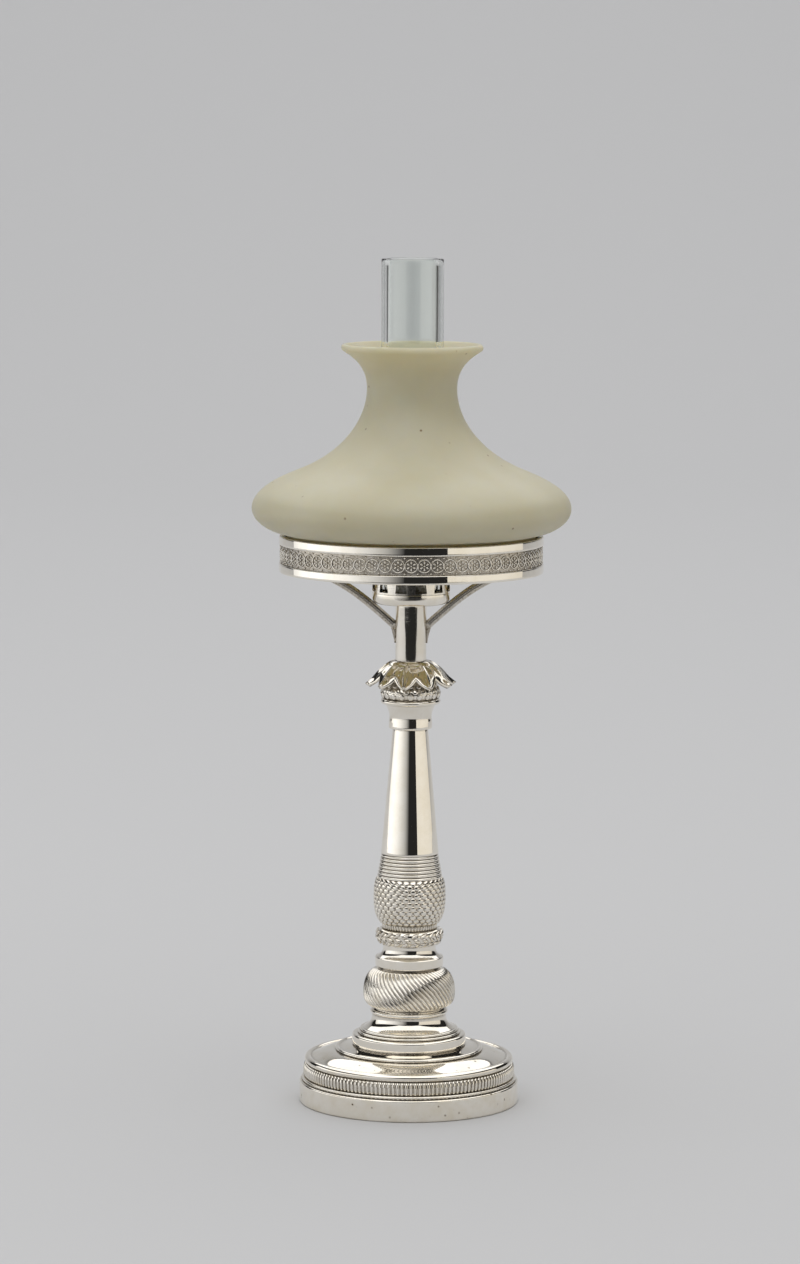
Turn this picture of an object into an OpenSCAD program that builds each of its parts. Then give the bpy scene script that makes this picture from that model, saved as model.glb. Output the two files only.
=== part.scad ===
// Standing lamp in miniature: a turned silver stem on a round foot, a ring carried by two arms,
// a frosted glass shade that rests in the ring and a clear glass chimney that stands in the burner cup.
// Lengths are millimetres, +Z is up, the stem is on the Z axis and the foot rests on z = 0.

/* [Tie rod] */
// Radius of the rod that draws the stem's pieces together
rod_r = 0.8; // [0.5:0.05:1]
// Gap all round between the rod and each bore that it passes through
bore_gap = 0.05; // [0.02:0.01:0.15]
// How far the rod stands out past each nut
rod_end = 0.6; // [0.2:0.1:1]
// Width of a nut across its flats
nut_af = 3.4; // [3:0.1:3.8]
// Height of a nut
nut_h = 1.2; // [0.8:0.1:1.5]
// Radius of the washer under the foot's crown
washer_r = 2.4; // [2:0.1:4]
// Thickness of the washer
washer_t = 0.4; // [0.2:0.1:0.8]

/* [Foot] */
// Radius of the foot band, the widest part of the foot
foot_r = 15.6; // [14:0.1:18]
// Height of the foot band
foot_band_h = 3.1; // [2:0.1:5]
// Thickness of the foot band's wall
foot_wall = 0.8; // [0.5:0.1:1.2]
// Width of the ledge turned in at the top of the foot band
ledge_w = 2.2; // [2:0.1:3]
// Thickness of that ledge
ledge_t = 0.6; // [0.4:0.1:1]
// Rounding of the foot band's upper edge
band_edge_r = 0.25; // [0.1:0.05:0.35]
// Radius of the beaded wire's section
wire_r = 0.25; // [0.15:0.05:0.4]
// How far the milled ring is set in from the foot band
milled_step = 0.3; // [0.1:0.1:0.6]
// Height of the foot's milled ring
foot_milled_h = 1.9; // [1.2:0.1:3]
// Radial width of the foot's milled ring
foot_milled_w = 1.7; // [1.5:0.1:2.5]
// How far the dome's rim is set in from the milled ring
dome_step = 0.4; // [0.2:0.1:0.8]
// Radius of the bead on the dome's rim
dome_bead_r = 0.55; // [0.4:0.05:0.6]
// Height of the dome from its rim to its crown
dome_h = 1.9; // [1.6:0.1:4]
// Thickness of the dome's sheet
dome_wall = 0.5; // [0.3:0.1:0.7]
// Radius of the flange that stands on the dome
flange_r = 10.5; // [9.5:0.1:11.5]
// Height of the flange
flange_h = 0.7; // [0.6:0.1:1.5]
// Radius of the tier that stands on the flange
tier_r = 8.1; // [7.6:0.1:9]
// Height of the tier
tier_h = 1.7; // [1:0.1:3]
// Radius of the lower of the two beads on the tier
bead_r = 7.3; // [6.9:0.1:7.5]
// Height of the two beads together
bead_h = 0.8; // [0.6:0.1:1.2]
// Radius of the foot's neck at its foot
neck_foot_r = 6.6; // [5.8:0.1:6.8]
// Smallest radius of the foot's neck
neck_r = 5.25; // [4.6:0.05:5.6]
// Height of the foot's neck
neck_h = 3; // [2.4:0.1:5]

/* [Stem] */
// Largest radius of the swirled knop
knop_r = 6.55; // [6:0.05:7.5]
// Radius of the swirled knop at its ends
knop_end_r = 4.9; // [4.5:0.1:5.5]
// Height of the swirled knop
knop_h = 5.6; // [4:0.1:8]
// Height of the swirled knop's widest point above its foot
knop_max_z = 2.1; // [1.5:0.1:3]
// Radius of the collar disc above the knop
disc_r = 4.85; // [4.4:0.05:5.6]
// Height of the collar disc
disc_h = 1.7; // [1.2:0.1:3]
// Height of the dark groove under the collar disc
disc_groove_h = 0.3; // [0.1:0.1:0.5]
// Depth of that groove
disc_groove_d = 0.6; // [0.3:0.1:0.9]
// Radius of the spool between the collar disc and the laurel ring
spool_r = 3.75; // [3.2:0.05:4]
// Height of the spool
spool_h = 1.8; // [1.2:0.1:3]
// Largest radius of the laurel ring
laurel_r = 5; // [4.6:0.05:5.6]
// Height of the laurel ring
laurel_h = 2.2; // [1.6:0.1:3]
// Radius of the milled ring under the scaled knop
milled_r = 4; // [3.6:0.05:4.4]
// Height of the milled ring
milled_h = 0.9; // [0.6:0.1:1.6]
// Largest radius of the scaled knop
scale_r = 5.15; // [4.9:0.05:6]
// Radius of the scaled knop at its foot
scale_foot_r = 4.25; // [3.8:0.05:4.6]
// Radius of the scaled knop at its top
scale_top_r = 4.7; // [4.3:0.05:4.9]
// Height of the scaled knop
scale_h = 6.4; // [5:0.1:9]
// Number of turned rings on the reeded collar
reeds = 7; // [4:1:9]
// Radius of the reeded collar at its foot
reed_foot_r = 4.65; // [4.3:0.05:5]
// Height of the reeded collar
reed_h = 3.5; // [2.8:0.1:5]
// Radius of the tapered shaft at its foot
shaft_foot_r = 4.1; // [3.6:0.05:4.3]
// Radius of the tapered shaft at its top
shaft_top_r = 2.5; // [2.2:0.05:2.9]
// Height of the tapered shaft
shaft_h = 17.9; // [12:0.1:26]
// Thickness of the shaft's wall
shaft_wall = 0.6; // [0.4:0.1:0.9]
// Radius of the capital's foot
capital_foot_r = 3.1; // [2.9:0.05:3.4]
// Radius of the capital's waist
capital_waist_r = 2.95; // [2.7:0.05:3.2]
// Radius of the capital at its top
capital_top_r = 3.6; // [3.3:0.05:4]
// Height of the capital
capital_h = 3.5; // [2.6:0.1:5]

/* [Calyx and column] */
// Radius of the bead under the calyx
calyx_bead_r = 4.25; // [3.9:0.05:4.5]
// Height of that bead
calyx_bead_h = 0.8; // [0.5:0.1:1.2]
// Largest radius of the calyx's bulb
bulb_r = 4.5; // [4.1:0.05:5]
// Height of the bulb above its bead
bulb_h = 2.4; // [2:0.1:2.8]
// Number of leaves that fall from the column
leaves = 10; // [8:1:14]
// Radius at the tips of the leaves
leaf_r = 6.2; // [5.6:0.1:7]
// Height of the leaves' tips below the root
leaf_drop = 3.7; // [3:0.1:4]
// Height of the leaves' root above the top of the bulb
leaf_root_z = 3; // [2.6:0.1:4.2]
// Thickness of a leaf
leaf_t = 0.3; // [0.2:0.05:0.4]
// Radius of the upper column
column_r = 2.2; // [1.9:0.05:2.5]
// Thickness of the upper column's wall
column_wall = 0.5; // [0.3:0.05:0.6]
// Height of the upper column
column_h = 11.1; // [10.6:0.1:12]

/* [Ring on two arms] */
// Outer radius of the ring
ring_r = 18.7; // [17.5:0.1:20]
// Height of the ring
ring_h = 5.2; // [4.6:0.1:7]
// Height of the ring's lower edge above the upper column's top
ring_z = 4.5; // [4:0.1:6]
// Thickness of the plain band at the back of the ring
ring_wall = 0.35; // [0.25:0.05:0.6]
// Thickness of the two flat wires at the ring's edges
rim_t = 0.35; // [0.25:0.05:0.6]
// Height of each flat wire
rim_h = 1.3; // [1:0.1:1.6]
// Thickness of the ornamental strip between them
frieze_t = 0.2; // [0.1:0.05:0.25]
// Width of the ledge inside the ring that the shade stands on
seat_w = 1.6; // [1.4:0.1:2.2]
// Thickness of that ledge
seat_t = 0.6; // [0.4:0.1:1]
// Depth of the ledge's top below the ring's top
seat_depth = 2.1; // [1.6:0.1:2.3]
// Width of an arm, across the lamp
arm_w = 1; // [0.7:0.05:1.4]
// Thickness of an arm, in the plane of its curve
arm_t = 1.1; // [0.8:0.05:1.2]
// Depth of an arm's upper edge at the column, below the burner cup
arm_drop = 2.5; // [2.4:0.1:3.5]
// Length of the tab that an arm turns down along the column
arm_tab = 2; // [1.5:0.1:3]
// Angle at which an arm leaves the column
arm_angle = 42; // [36:1:43]
// Length over which an arm keeps that angle
arm_pull = 6; // [4.5:0.1:7]
// Length over which an arm levels out before the ring
arm_level = 7; // [5:0.1:8]

/* [Burner] */
// Thickness of the burner cup's floor
cup_floor = 0.5; // [0.4:0.1:0.8]
// Thickness of the burner cup's wall
cup_wall = 0.5; // [0.4:0.05:0.7]
// Height of the burner cup's rim above the top of its floor
cup_rim_h = 1.1; // [0.8:0.1:1.6]
// Gap between the chimney and the burner cup
cup_gap = 0.6; // [0.3:0.05:1]
// Height of the pierced crown on the cup
crown_h = 4.6; // [4:0.1:6]
// Thickness of the pierced crown's sheet
crown_t = 0.4; // [0.3:0.05:0.5]
// Number of openings in the crown
crown_holes = 12; // [8:1:14]
// Width of an opening at its foot
crown_hole_w = 1.7; // [1.2:0.1:1.9]
// Height of an opening
crown_hole_h = 2.8; // [2:0.1:3]
// Thickness of the inner burner tube
tube_wall = 0.5; // [0.3:0.05:0.8]
// Height of the inner burner tube
tube_h = 4.6; // [3:0.1:6]

/* [Glass] */
// Outer radius of the chimney
chimney_r = 4.4; // [4.1:0.05:4.6]
// Thickness of the chimney's glass
chimney_wall = 1; // [0.8:0.05:1.1]
// Length of the chimney
chimney_h = 48.1; // [40:0.1:55]
// Gap between the chimney and the tube inside it
tube_gap = 0.3; // [0.15:0.05:0.4]
// Gap between the shade's foot and the ring around it
shade_gap = 0.45; // [0.3:0.05:0.6]
// Thickness of the shade's glass
shade_wall = 1; // [0.6:0.05:1.1]
// Largest radius of the shade
shade_r = 22.56; // [21.5:0.1:25]
// Height of the widest point above the shade's foot
shade_max_z = 5.9; // [5:0.1:7]
// Radius at the lower end of the shade's flank, where its shoulder starts
shoulder_r = 15.85; // [14:0.05:17]
// Height of that point
shoulder_z = 11.3; // [10.4:0.1:12.4]
// Smallest radius of the shade's neck
shade_neck_r = 6.4; // [6.3:0.05:7.5]
// Height of the neck's smallest point
shade_neck_z = 22.8; // [20:0.1:24]
// Radius of the shade's lip
lip_r = 10.05; // [9.4:0.05:11.5]
// Height of the shade
shade_h = 29; // [28:0.1:34]
// Height of the clear strip between the ring and the shade's shoulder
shade_lift_gap = 0.3; // [0.3:0.05:0.6]

/* [Hidden] */
$fn = 96;

bore_r = rod_r + bore_gap;
milled_out_r = foot_r - milled_step;
milled_in_r = milled_out_r - foot_milled_w;
dome_r = milled_out_r - dome_step;
cup_in_r = chimney_r + cup_gap;
cup_r = cup_in_r + cup_wall;
chimney_in_r = chimney_r - chimney_wall;
tube_r = chimney_in_r - tube_gap;
ring_band_r = ring_r - rim_t;
ring_in_r = ring_band_r - ring_wall;
shade_foot_r = ring_in_r - shade_gap;

// Levels up the stem, each piece standing on the one below
wire_z = foot_band_h;
foot_milled_z = wire_z + 2 * wire_r;
dome_z = foot_milled_z + foot_milled_h;
flange_z = dome_z + dome_h;
tier_z = flange_z + flange_h;
beads_z = tier_z + tier_h;
neck_z = beads_z + bead_h;
knop_z = neck_z + neck_h;
disc_z = knop_z + knop_h;
spool_z = disc_z + disc_h;
laurel_z = spool_z + spool_h;
milled_z = laurel_z + laurel_h;
scale_z = milled_z + milled_h;
reed_z = scale_z + scale_h;
shaft_z = reed_z + reed_h;
capital_z = shaft_z + shaft_h;
calyx_z = capital_z + capital_h;
column_z = calyx_z + calyx_bead_h + bulb_h;
leaf_z = column_z + leaf_root_z;
cup_z = column_z + column_h;
floor_z = cup_z + cup_floor;
rim_z = floor_z + cup_rim_h;
ring_foot_z = cup_z + ring_z;
ring_top_z = ring_foot_z + ring_h;
seat_z = ring_top_z - seat_depth;
washer_z = flange_z - dome_wall - washer_t;

silver = "#d8d8d3";
warm_silver = "#bdb6a4";
dark_silver = "#8f8a7c";
frosted_glass = "#d2cbb3";
clear_glass = "#e3e8e6";

// Points of a cubic curve from a to d that leaves towards b and arrives from c
function curve(a, b, c, d, steps = 10) = [for (i = [0 : steps]) let (t = i / steps, s = 1 - t)
    s * s * s * a + 3 * s * s * t * b + 3 * s * t * t * c + t * t * t * d];

// Points of an arc about a centre
function arc(centre, radius, from, to, steps = 8) = [for (i = [0 : steps])
    let (angle = from + (to - from) * i / steps) centre + radius * [cos(angle), sin(angle)]];

// A path moved sideways by d, to the left of its direction
function beside(path, d) = [for (i = [0 : len(path) - 1])
    let (before = path[max(i - 1, 0)], after = path[min(i + 1, len(path) - 1)],
        along = (after - before) / norm(after - before)) path[i] + d * [-along[1], along[0]]];

function backwards(path) = [for (i = [len(path) - 1 : -1 : 0]) path[i]];

// A turned piece: its outline is given from the bottom outwards, upwards and back to the bore
module turned(outline, bore = bore_r) {
    foot = outline[0][1];
    top = outline[len(outline) - 1][1];
    rotate_extrude() polygon(concat([[bore, foot]], outline, [[bore, top]]));
}

module foot_band() {
    color(silver) rotate_extrude() polygon(concat(
        [[foot_r - foot_wall, 0], [foot_r, 0]],
        arc([foot_r - band_edge_r, foot_band_h - band_edge_r], band_edge_r, 0, 90, 4),
        [[foot_r - ledge_w, foot_band_h], [foot_r - ledge_w, foot_band_h - ledge_t],
         [foot_r - foot_wall, foot_band_h - ledge_t]]));
}

module foot_wire() {
    centre_r = milled_out_r - wire_r;
    color(dark_silver) rotate_extrude() polygon(concat(
        [[milled_in_r, wire_z]],
        arc([centre_r, wire_z + wire_r], wire_r, -90, 90),
        [[milled_in_r, wire_z + 2 * wire_r]]));
}

module foot_milled_ring() {
    bulge = 0.25;
    color(warm_silver) rotate_extrude() polygon(concat(
        [[milled_in_r, foot_milled_z]],
        curve([milled_out_r - bulge, foot_milled_z], [milled_out_r, foot_milled_z + bulge],
            [milled_out_r, dome_z - bulge], [milled_out_r - bulge, dome_z]),
        [[milled_in_r, dome_z]]));
}

// The dome's sheet runs from the beaded rim up to a level crown that carries the stem
module foot_dome() {
    bead = [dome_r - dome_bead_r, dome_z + dome_bead_r];
    rim_end = bead + dome_bead_r * [cos(135), sin(135)];
    crown_r = flange_r - 0.2;
    back = curve(rim_end, rim_end + [-1.2, 0.3], [crown_r + 1.4, flange_z], [crown_r, flange_z]);
    under = beside(back, dome_wall);
    color(silver) rotate_extrude() polygon(concat(
        [[milled_in_r, dome_z]],
        arc(bead, dome_bead_r, -90, 135, 14),
        [for (i = [1 : len(back) - 1]) back[i]],
        [[bore_r, flange_z], [bore_r, flange_z - dome_wall]],
        [for (i = [len(under) - 1 : -1 : 3]) under[i]]));
}

module foot_flange() {
    edge = 0.25;
    color(silver) turned(concat(
        arc([flange_r - edge, flange_z + edge], edge, -90, 120),
        curve([flange_r - 2.4 * edge, flange_z + 1.5 * edge], [flange_r - 5 * edge, flange_z + 1.5 * edge],
            [tier_r + 0.6, tier_z - 0.1], [tier_r, tier_z], 6)));
}

module foot_tier() {
    groove = 0.2;
    edge = 0.35;
    color(silver) turned(concat(
        [[tier_r - groove, tier_z], [tier_r - groove, tier_z + groove], [tier_r, tier_z + groove]],
        arc([tier_r - edge, beads_z - edge], edge, 0, 90)));
}

module foot_beads() {
    each_r = bead_h / 4;
    color(silver) turned(concat(
        arc([bead_r - each_r, beads_z + each_r], each_r, -90, 80),
        arc([bead_r - 2.5 * each_r, beads_z + 3 * each_r], each_r, -80, 90)));
}

module foot_neck() {
    collar = 0.3;
    color(silver) turned(concat(
        curve([neck_foot_r, neck_z], [neck_r + 0.3, neck_z + 0.5],
            [neck_r, neck_z + 1], [neck_r, knop_z - 3 * collar]),
        arc([neck_r, knop_z - 2 * collar], collar, -80, 80),
        [[neck_r - 0.1, knop_z]]));
}

module swirl_knop() {
    widest = [knop_r, knop_z + knop_max_z];
    color(warm_silver) turned(concat(
        curve([knop_end_r + 0.3, knop_z], [knop_r - 0.2, knop_z + 0.4],
            [knop_r, knop_z + 0.5 * knop_max_z], widest),
        [for (p = curve(widest, widest + [0, 1.8], [knop_r - 0.5, disc_z - 0.6], [knop_end_r - 0.2, disc_z]))
            if (p != widest) p]));
}

module collar_disc() {
    edge = 0.12;
    color(silver) turned([
        [disc_r - disc_groove_d, disc_z], [disc_r - disc_groove_d, disc_z + disc_groove_h],
        [disc_r - edge, disc_z + disc_groove_h], [disc_r, disc_z + disc_groove_h + edge],
        [disc_r, spool_z - edge], [disc_r - edge, spool_z]]);
}

module spool_neck() {
    color(silver) turned(curve([disc_r - 0.2, spool_z], [spool_r + 0.1, spool_z + 0.3],
        [spool_r, spool_z + 0.7], [spool_r, laurel_z]));
}

module laurel_ring() {
    color(warm_silver) turned(curve([spool_r + 0.15, laurel_z], [laurel_r - 0.1, laurel_z + 0.2],
        [laurel_r + 0.5, milled_z - 0.5], [milled_r + 0.2, milled_z], 14));
}

module milled_ring() {
    bulge = 0.15;
    color(dark_silver) turned(curve([milled_r - bulge, milled_z], [milled_r + bulge / 2, milled_z + bulge],
        [milled_r + bulge / 2, scale_z - bulge], [milled_r - bulge, scale_z], 6));
}

module scale_knop() {
    middle = [scale_r, scale_z + scale_h / 2];
    color(warm_silver) turned(concat(
        curve([scale_foot_r, scale_z], [scale_foot_r + 0.6, scale_z + 0.7], middle - [0, 1.4], middle),
        [for (p = curve(middle, middle + [0, 1.8], [scale_top_r + 0.4, reed_z - 0.4], [scale_top_r, reed_z]))
            if (p != middle) p]));
}

// Half-round rings that grow from the shaft's radius down to the reeded collar's foot
module reeded_collar() {
    pitch = reed_h / reeds;
    color(silver) turned([for (i = [0 : reeds - 1])
        let (ring_out = reed_foot_r + (shaft_foot_r - reed_foot_r) * i / (reeds - 1))
        each arc([ring_out - pitch / 2, reed_z + (i + 0.5) * pitch], pitch / 2, -80, 80, 6)]);
}

module column_shaft() {
    color(silver) difference() {
        translate([0, 0, shaft_z]) cylinder(h = shaft_h, r1 = shaft_foot_r, r2 = shaft_top_r);
        translate([0, 0, shaft_z - shaft_h / 2])
            cylinder(h = 2 * shaft_h, r1 = 1.5 * shaft_foot_r - 0.5 * shaft_top_r - shaft_wall,
                r2 = 1.5 * shaft_top_r - 0.5 * shaft_foot_r - shaft_wall);
    }
}

module capital_collar() {
    edge = 0.15;
    color(silver) turned(concat(
        [[capital_foot_r - edge, capital_z], [capital_foot_r, capital_z + edge]],
        curve([capital_foot_r - 0.05, capital_z + 1.2], [capital_waist_r, capital_z + 1.7],
            [capital_waist_r, calyx_z - 1.2], [capital_top_r, calyx_z])));
}

module calyx_bulb() {
    bead_c = calyx_bead_h / 2;
    bulb_foot = calyx_z + calyx_bead_h;
    color(warm_silver) turned(concat(
        arc([calyx_bead_r - bead_c, calyx_z + bead_c], bead_c, -90, 70),
        curve([calyx_bead_r - bead_c, bulb_foot + 0.1], [bulb_r + 0.1, bulb_foot + 0.3],
            [bulb_r + 0.1, bulb_foot + 1.3], [bulb_r - 0.9, column_z])));
}

// A thin bell of sheet, parted from its rim into pointed leaves
module calyx_leaves() {
    root = [column_r, leaf_z];
    tip = [leaf_r, leaf_z - leaf_drop];
    back = curve(root, root + [1.4, -0.1], [leaf_r - 1.1, tip[1] + 1.7], tip);
    under = beside(back, -leaf_t);
    notch_r = column_r + 1.3;
    bend_r = leaf_r - 1.2;
    reach = leaf_r + 0.4;
    half_pitch = tan(180 / leaves);
    color(warm_silver) difference() {
        rotate_extrude() polygon(concat(back, [for (i = [len(under) - 1 : -1 : 1]) under[i]],
            [[column_r, leaf_z - leaf_t]]));
        for (i = [0 : leaves - 1])
            rotate((i + 0.5) * 360 / leaves) translate([0, 0, tip[1] - 1]) linear_extrude(leaf_drop + 2)
                polygon([[notch_r, 0], [bend_r, -0.3 * bend_r * half_pitch], [reach, -reach * half_pitch],
                    [reach, reach * half_pitch], [bend_r, 0.3 * bend_r * half_pitch]]);
    }
}

module upper_column() {
    color(silver) difference() {
        translate([0, 0, column_z]) cylinder(h = column_h, r = column_r);
        translate([0, 0, column_z - 1]) cylinder(h = column_h + 2, r = column_r - column_wall);
    }
}

module burner_cup() {
    turn = 0.9;
    color(warm_silver) rotate_extrude() polygon(concat(
        [[bore_r, cup_z]],
        arc([cup_r - turn, cup_z + turn], turn, -90, 0, 6),
        [[cup_r, rim_z], [cup_in_r, rim_z], [cup_in_r, floor_z], [bore_r, floor_z]]));
}

// The crown stands on the cup's rim and is pierced all round with pointed arches
module burner_crown() {
    sill = 0.25;
    half = crown_hole_w / 2;
    color(warm_silver) difference() {
        translate([0, 0, rim_z]) cylinder(h = crown_h, r = cup_r);
        translate([0, 0, rim_z - 1]) cylinder(h = crown_h + 2, r = cup_r - crown_t);
        for (i = [0 : crown_holes - 1])
            rotate((i + 0.5) * 360 / crown_holes) translate([cup_r - 2, 0, rim_z + sill])
                rotate([90, 0, 90]) linear_extrude(4) polygon([[-half, 0], [half, 0],
                    [half * 0.8, crown_hole_h * 0.5], [0, crown_hole_h], [-half * 0.8, crown_hole_h * 0.5]]);
    }
}

module burner_tube() {
    color(warm_silver) translate([0, 0, floor_z]) difference() {
        cylinder(h = tube_h, r = tube_r);
        translate([0, 0, -1]) cylinder(h = tube_h + 2, r = tube_r - tube_wall);
    }
}

module tie_rod() {
    foot = washer_z - nut_h - rod_end;
    color(dark_silver) translate([0, 0, foot])
        cylinder(h = floor_z + nut_h + rod_end - foot, r = rod_r);
}

module tie_washer() {
    color(dark_silver) translate([0, 0, washer_z]) difference() {
        cylinder(h = washer_t, r = washer_r);
        translate([0, 0, -1]) cylinder(h = washer_t + 2, r = bore_r);
    }
}

// A six-sided nut with its bore on the rod
module nut(height) {
    color(dark_silver) translate([0, 0, height]) difference() {
        cylinder(h = nut_h, r = nut_af / sqrt(3), $fn = 6);
        translate([0, 0, -1]) cylinder(h = nut_h + 2, r = rod_r);
    }
}

module foot_nut() {
    nut(washer_z - nut_h);
}

module burner_nut() {
    nut(floor_z);
}

// One arm in the +X half-plane: a tab on the column, a straight rise and a level end at the ring
module arm() {
    root = [column_r, cup_z - arm_drop];
    end = [ring_in_r + 0.2, ring_foot_z + arm_t + 0.05];
    top = curve(root, root + arm_pull * [cos(arm_angle), sin(arm_angle)], end - [arm_level, 0], end, 14);
    under = beside(top, -arm_t);
    tab_foot = [column_r, root[1] - arm_t - arm_tab];
    color(dark_silver) difference() {
        intersection() {
            rotate([90, 0, 0]) linear_extrude(arm_w, center = true) polygon(concat(
                [[0, root[1]]], top, [for (i = [len(under) - 1 : -1 : 1]) under[i]],
                [tab_foot + [0.25, 0], [0, tab_foot[1]]]));
            translate([0, 0, tab_foot[1] - 1]) cylinder(h = ring_top_z, r = ring_in_r);
        }
        translate([0, 0, column_z]) cylinder(h = column_h, r = column_r);
    }
}

module arm_right() {
    arm();
}

module arm_left() {
    rotate(180) arm();
}

module hoop(outer_r, inner_r, foot_z, height) {
    translate([0, 0, foot_z]) difference() {
        cylinder(h = height, r = outer_r);
        translate([0, 0, -1]) cylinder(h = height + 2, r = inner_r);
    }
}

module ring_band() {
    color(silver) hoop(ring_band_r, ring_in_r, ring_foot_z, ring_h);
}

module ring_frieze() {
    color(warm_silver) hoop(ring_band_r + frieze_t, ring_band_r, ring_foot_z + rim_h, ring_h - 2 * rim_h);
}

// A flat wire with its outer edges rounded
module rim(foot_z) {
    edge = 0.15;
    color(silver) rotate_extrude() polygon(concat(
        [[ring_band_r, foot_z]],
        arc([ring_r - edge, foot_z + edge], edge, -90, 0, 4),
        arc([ring_r - edge, foot_z + rim_h - edge], edge, 0, 90, 4),
        [[ring_band_r, foot_z + rim_h]]));
}

module ring_top_rim() {
    rim(ring_top_z - rim_h);
}

module ring_bottom_rim() {
    rim(ring_foot_z);
}

module ring_seat() {
    color(silver) hoop(ring_in_r, ring_in_r - seat_w, seat_z - seat_t, seat_t);
}

// The glass is one wall that follows its outer face from the foot to the lip
module shade() {
    step_z = ring_top_z - seat_z + shade_lift_gap;
    ring_edge = [shade_foot_r + 0.6, step_z];
    widest = [shade_r, shade_max_z];
    shoulder = [shoulder_r, shoulder_z];
    slope = [1, -0.41];
    neck = [shade_neck_r, shade_neck_z];
    lip_edge = 0.5;
    lip_c = [lip_r - lip_edge, shade_h - lip_edge];
    lip_foot = lip_c + lip_edge * [cos(-60), sin(-60)];
    belly = curve(ring_edge, [shade_r - 2, step_z + 0.35], widest - [0, 1.7], widest, 12);
    bow = curve(widest, widest + [0, 2.7], shoulder + 2.5 * slope, shoulder, 12);
    flank = curve(shoulder, shoulder - 5.6 * slope, neck - [0, 4.8], neck, 16);
    flare = curve(neck, neck + [0, 3.2], lip_foot - [1.2, 0.8], lip_foot, 10);
    face = concat(belly, [for (i = [1 : len(bow) - 1]) bow[i]],
        [for (i = [1 : len(flank) - 1]) flank[i]], [for (i = [1 : len(flare) - 1]) flare[i]]);
    inside = beside(face, shade_wall);
    foot_in_r = shade_foot_r - shade_wall;
    color(frosted_glass) translate([0, 0, seat_z]) rotate_extrude() polygon(concat(
        [[foot_in_r, 0], [shade_foot_r, 0], [shade_foot_r, step_z - 0.3]], face,
        arc(lip_c, lip_edge, -40, 90, 6),
        [for (p = backwards(inside)) if (p[1] < shade_h - 1.2 && p[1] > step_z + shade_wall) p],
        [[foot_in_r, step_z + shade_wall / 2]]));
}

module chimney() {
    color(clear_glass, 0.45) hoop(chimney_r, chimney_in_r, floor_z, chimney_h);
}

foot_band();
foot_wire();
foot_milled_ring();
foot_dome();
foot_flange();
foot_tier();
foot_beads();
foot_neck();
swirl_knop();
collar_disc();
spool_neck();
laurel_ring();
milled_ring();
scale_knop();
reeded_collar();
column_shaft();
capital_collar();
calyx_bulb();
calyx_leaves();
upper_column();
burner_cup();
burner_crown();
burner_tube();
tie_rod();
tie_washer();
foot_nut();
burner_nut();
arm_left();
arm_right();
ring_band();
ring_frieze();
ring_top_rim();
ring_bottom_rim();
ring_seat();
shade();
chimney();
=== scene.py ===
import math
from functools import partial

import bmesh
import bpy
from mathutils import Matrix, Vector


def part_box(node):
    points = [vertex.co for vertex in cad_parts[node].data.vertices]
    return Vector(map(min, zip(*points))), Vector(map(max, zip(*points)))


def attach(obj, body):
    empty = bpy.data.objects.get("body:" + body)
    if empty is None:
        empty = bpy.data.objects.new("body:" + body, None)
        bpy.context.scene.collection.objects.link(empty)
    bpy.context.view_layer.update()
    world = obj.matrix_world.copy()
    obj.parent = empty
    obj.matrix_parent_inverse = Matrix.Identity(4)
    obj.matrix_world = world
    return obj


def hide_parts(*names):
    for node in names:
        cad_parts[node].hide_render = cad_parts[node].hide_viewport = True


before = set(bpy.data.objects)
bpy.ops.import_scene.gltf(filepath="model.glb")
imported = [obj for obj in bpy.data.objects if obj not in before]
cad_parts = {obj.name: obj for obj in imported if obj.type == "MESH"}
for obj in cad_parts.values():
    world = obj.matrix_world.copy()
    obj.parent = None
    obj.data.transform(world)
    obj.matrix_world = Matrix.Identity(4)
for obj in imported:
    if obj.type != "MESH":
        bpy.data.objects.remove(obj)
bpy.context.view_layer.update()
print("frame loaded:", len(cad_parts), "pieces of the solid model")

mm = 0.001  # every size below is in millimetres


# How nodes, meshes and outlines are made

def addNode(tree, kind, inputs=(), **settings):
    # inputs: values, sockets or nodes, in order or by name; a node stands for its first output
    node = tree.nodes.new(kind)
    for name, value in settings.items():
        setattr(node, name, value)
    for key, value in inputs.items() if isinstance(inputs, dict) else enumerate(inputs):
        if isinstance(value, bpy.types.Node):
            value = value.outputs[0]
        if isinstance(value, bpy.types.NodeSocket):
            tree.links.new(value, node.inputs[key])
        else:
            node.inputs[key].default_value = value
    return node


def startTree(name, sizes):
    tree = bpy.data.node_groups.new(name, "GeometryNodeTree")
    face = tree.interface
    face.new_socket(name="Geometry", in_out="INPUT", socket_type="NodeSocketGeometry")
    for label, kind, value in sizes:
        socket = face.new_socket(name=label, in_out="INPUT", socket_type="NodeSocket" + kind)
        if value is not None:
            socket.default_value = value
    face.new_socket(name="Geometry", in_out="OUTPUT", socket_type="NodeSocketGeometry")
    return tree, tree.nodes.new("NodeGroupInput").outputs, tree.nodes.new("NodeGroupOutput").inputs


def extent(node):
    # lowest level, highest level and widest radius of a solid, in mm
    low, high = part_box(node)
    return low.z / mm, high.z / mm, high.x / mm


def curve(a, b, c, d, steps=12):
    points = []
    for i in range(steps + 1):
        t = i / steps
        s = 1 - t
        weights = (s ** 3, 3 * s * s * t, 3 * s * t * t, t ** 3)
        points.append(tuple(sum(w * p[k] for w, p in zip(weights, (a, b, c, d))) for k in (0, 1)))
    return points


def arc(centre, radius, start, end, steps=10):
    angles = [math.radians(start + (end - start) * i / steps) for i in range(steps + 1)]
    return [(centre[0] + radius * math.cos(t), centre[1] + radius * math.sin(t)) for t in angles]


def plus(point, across, up):
    return (point[0] + across, point[1] + up)


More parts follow.
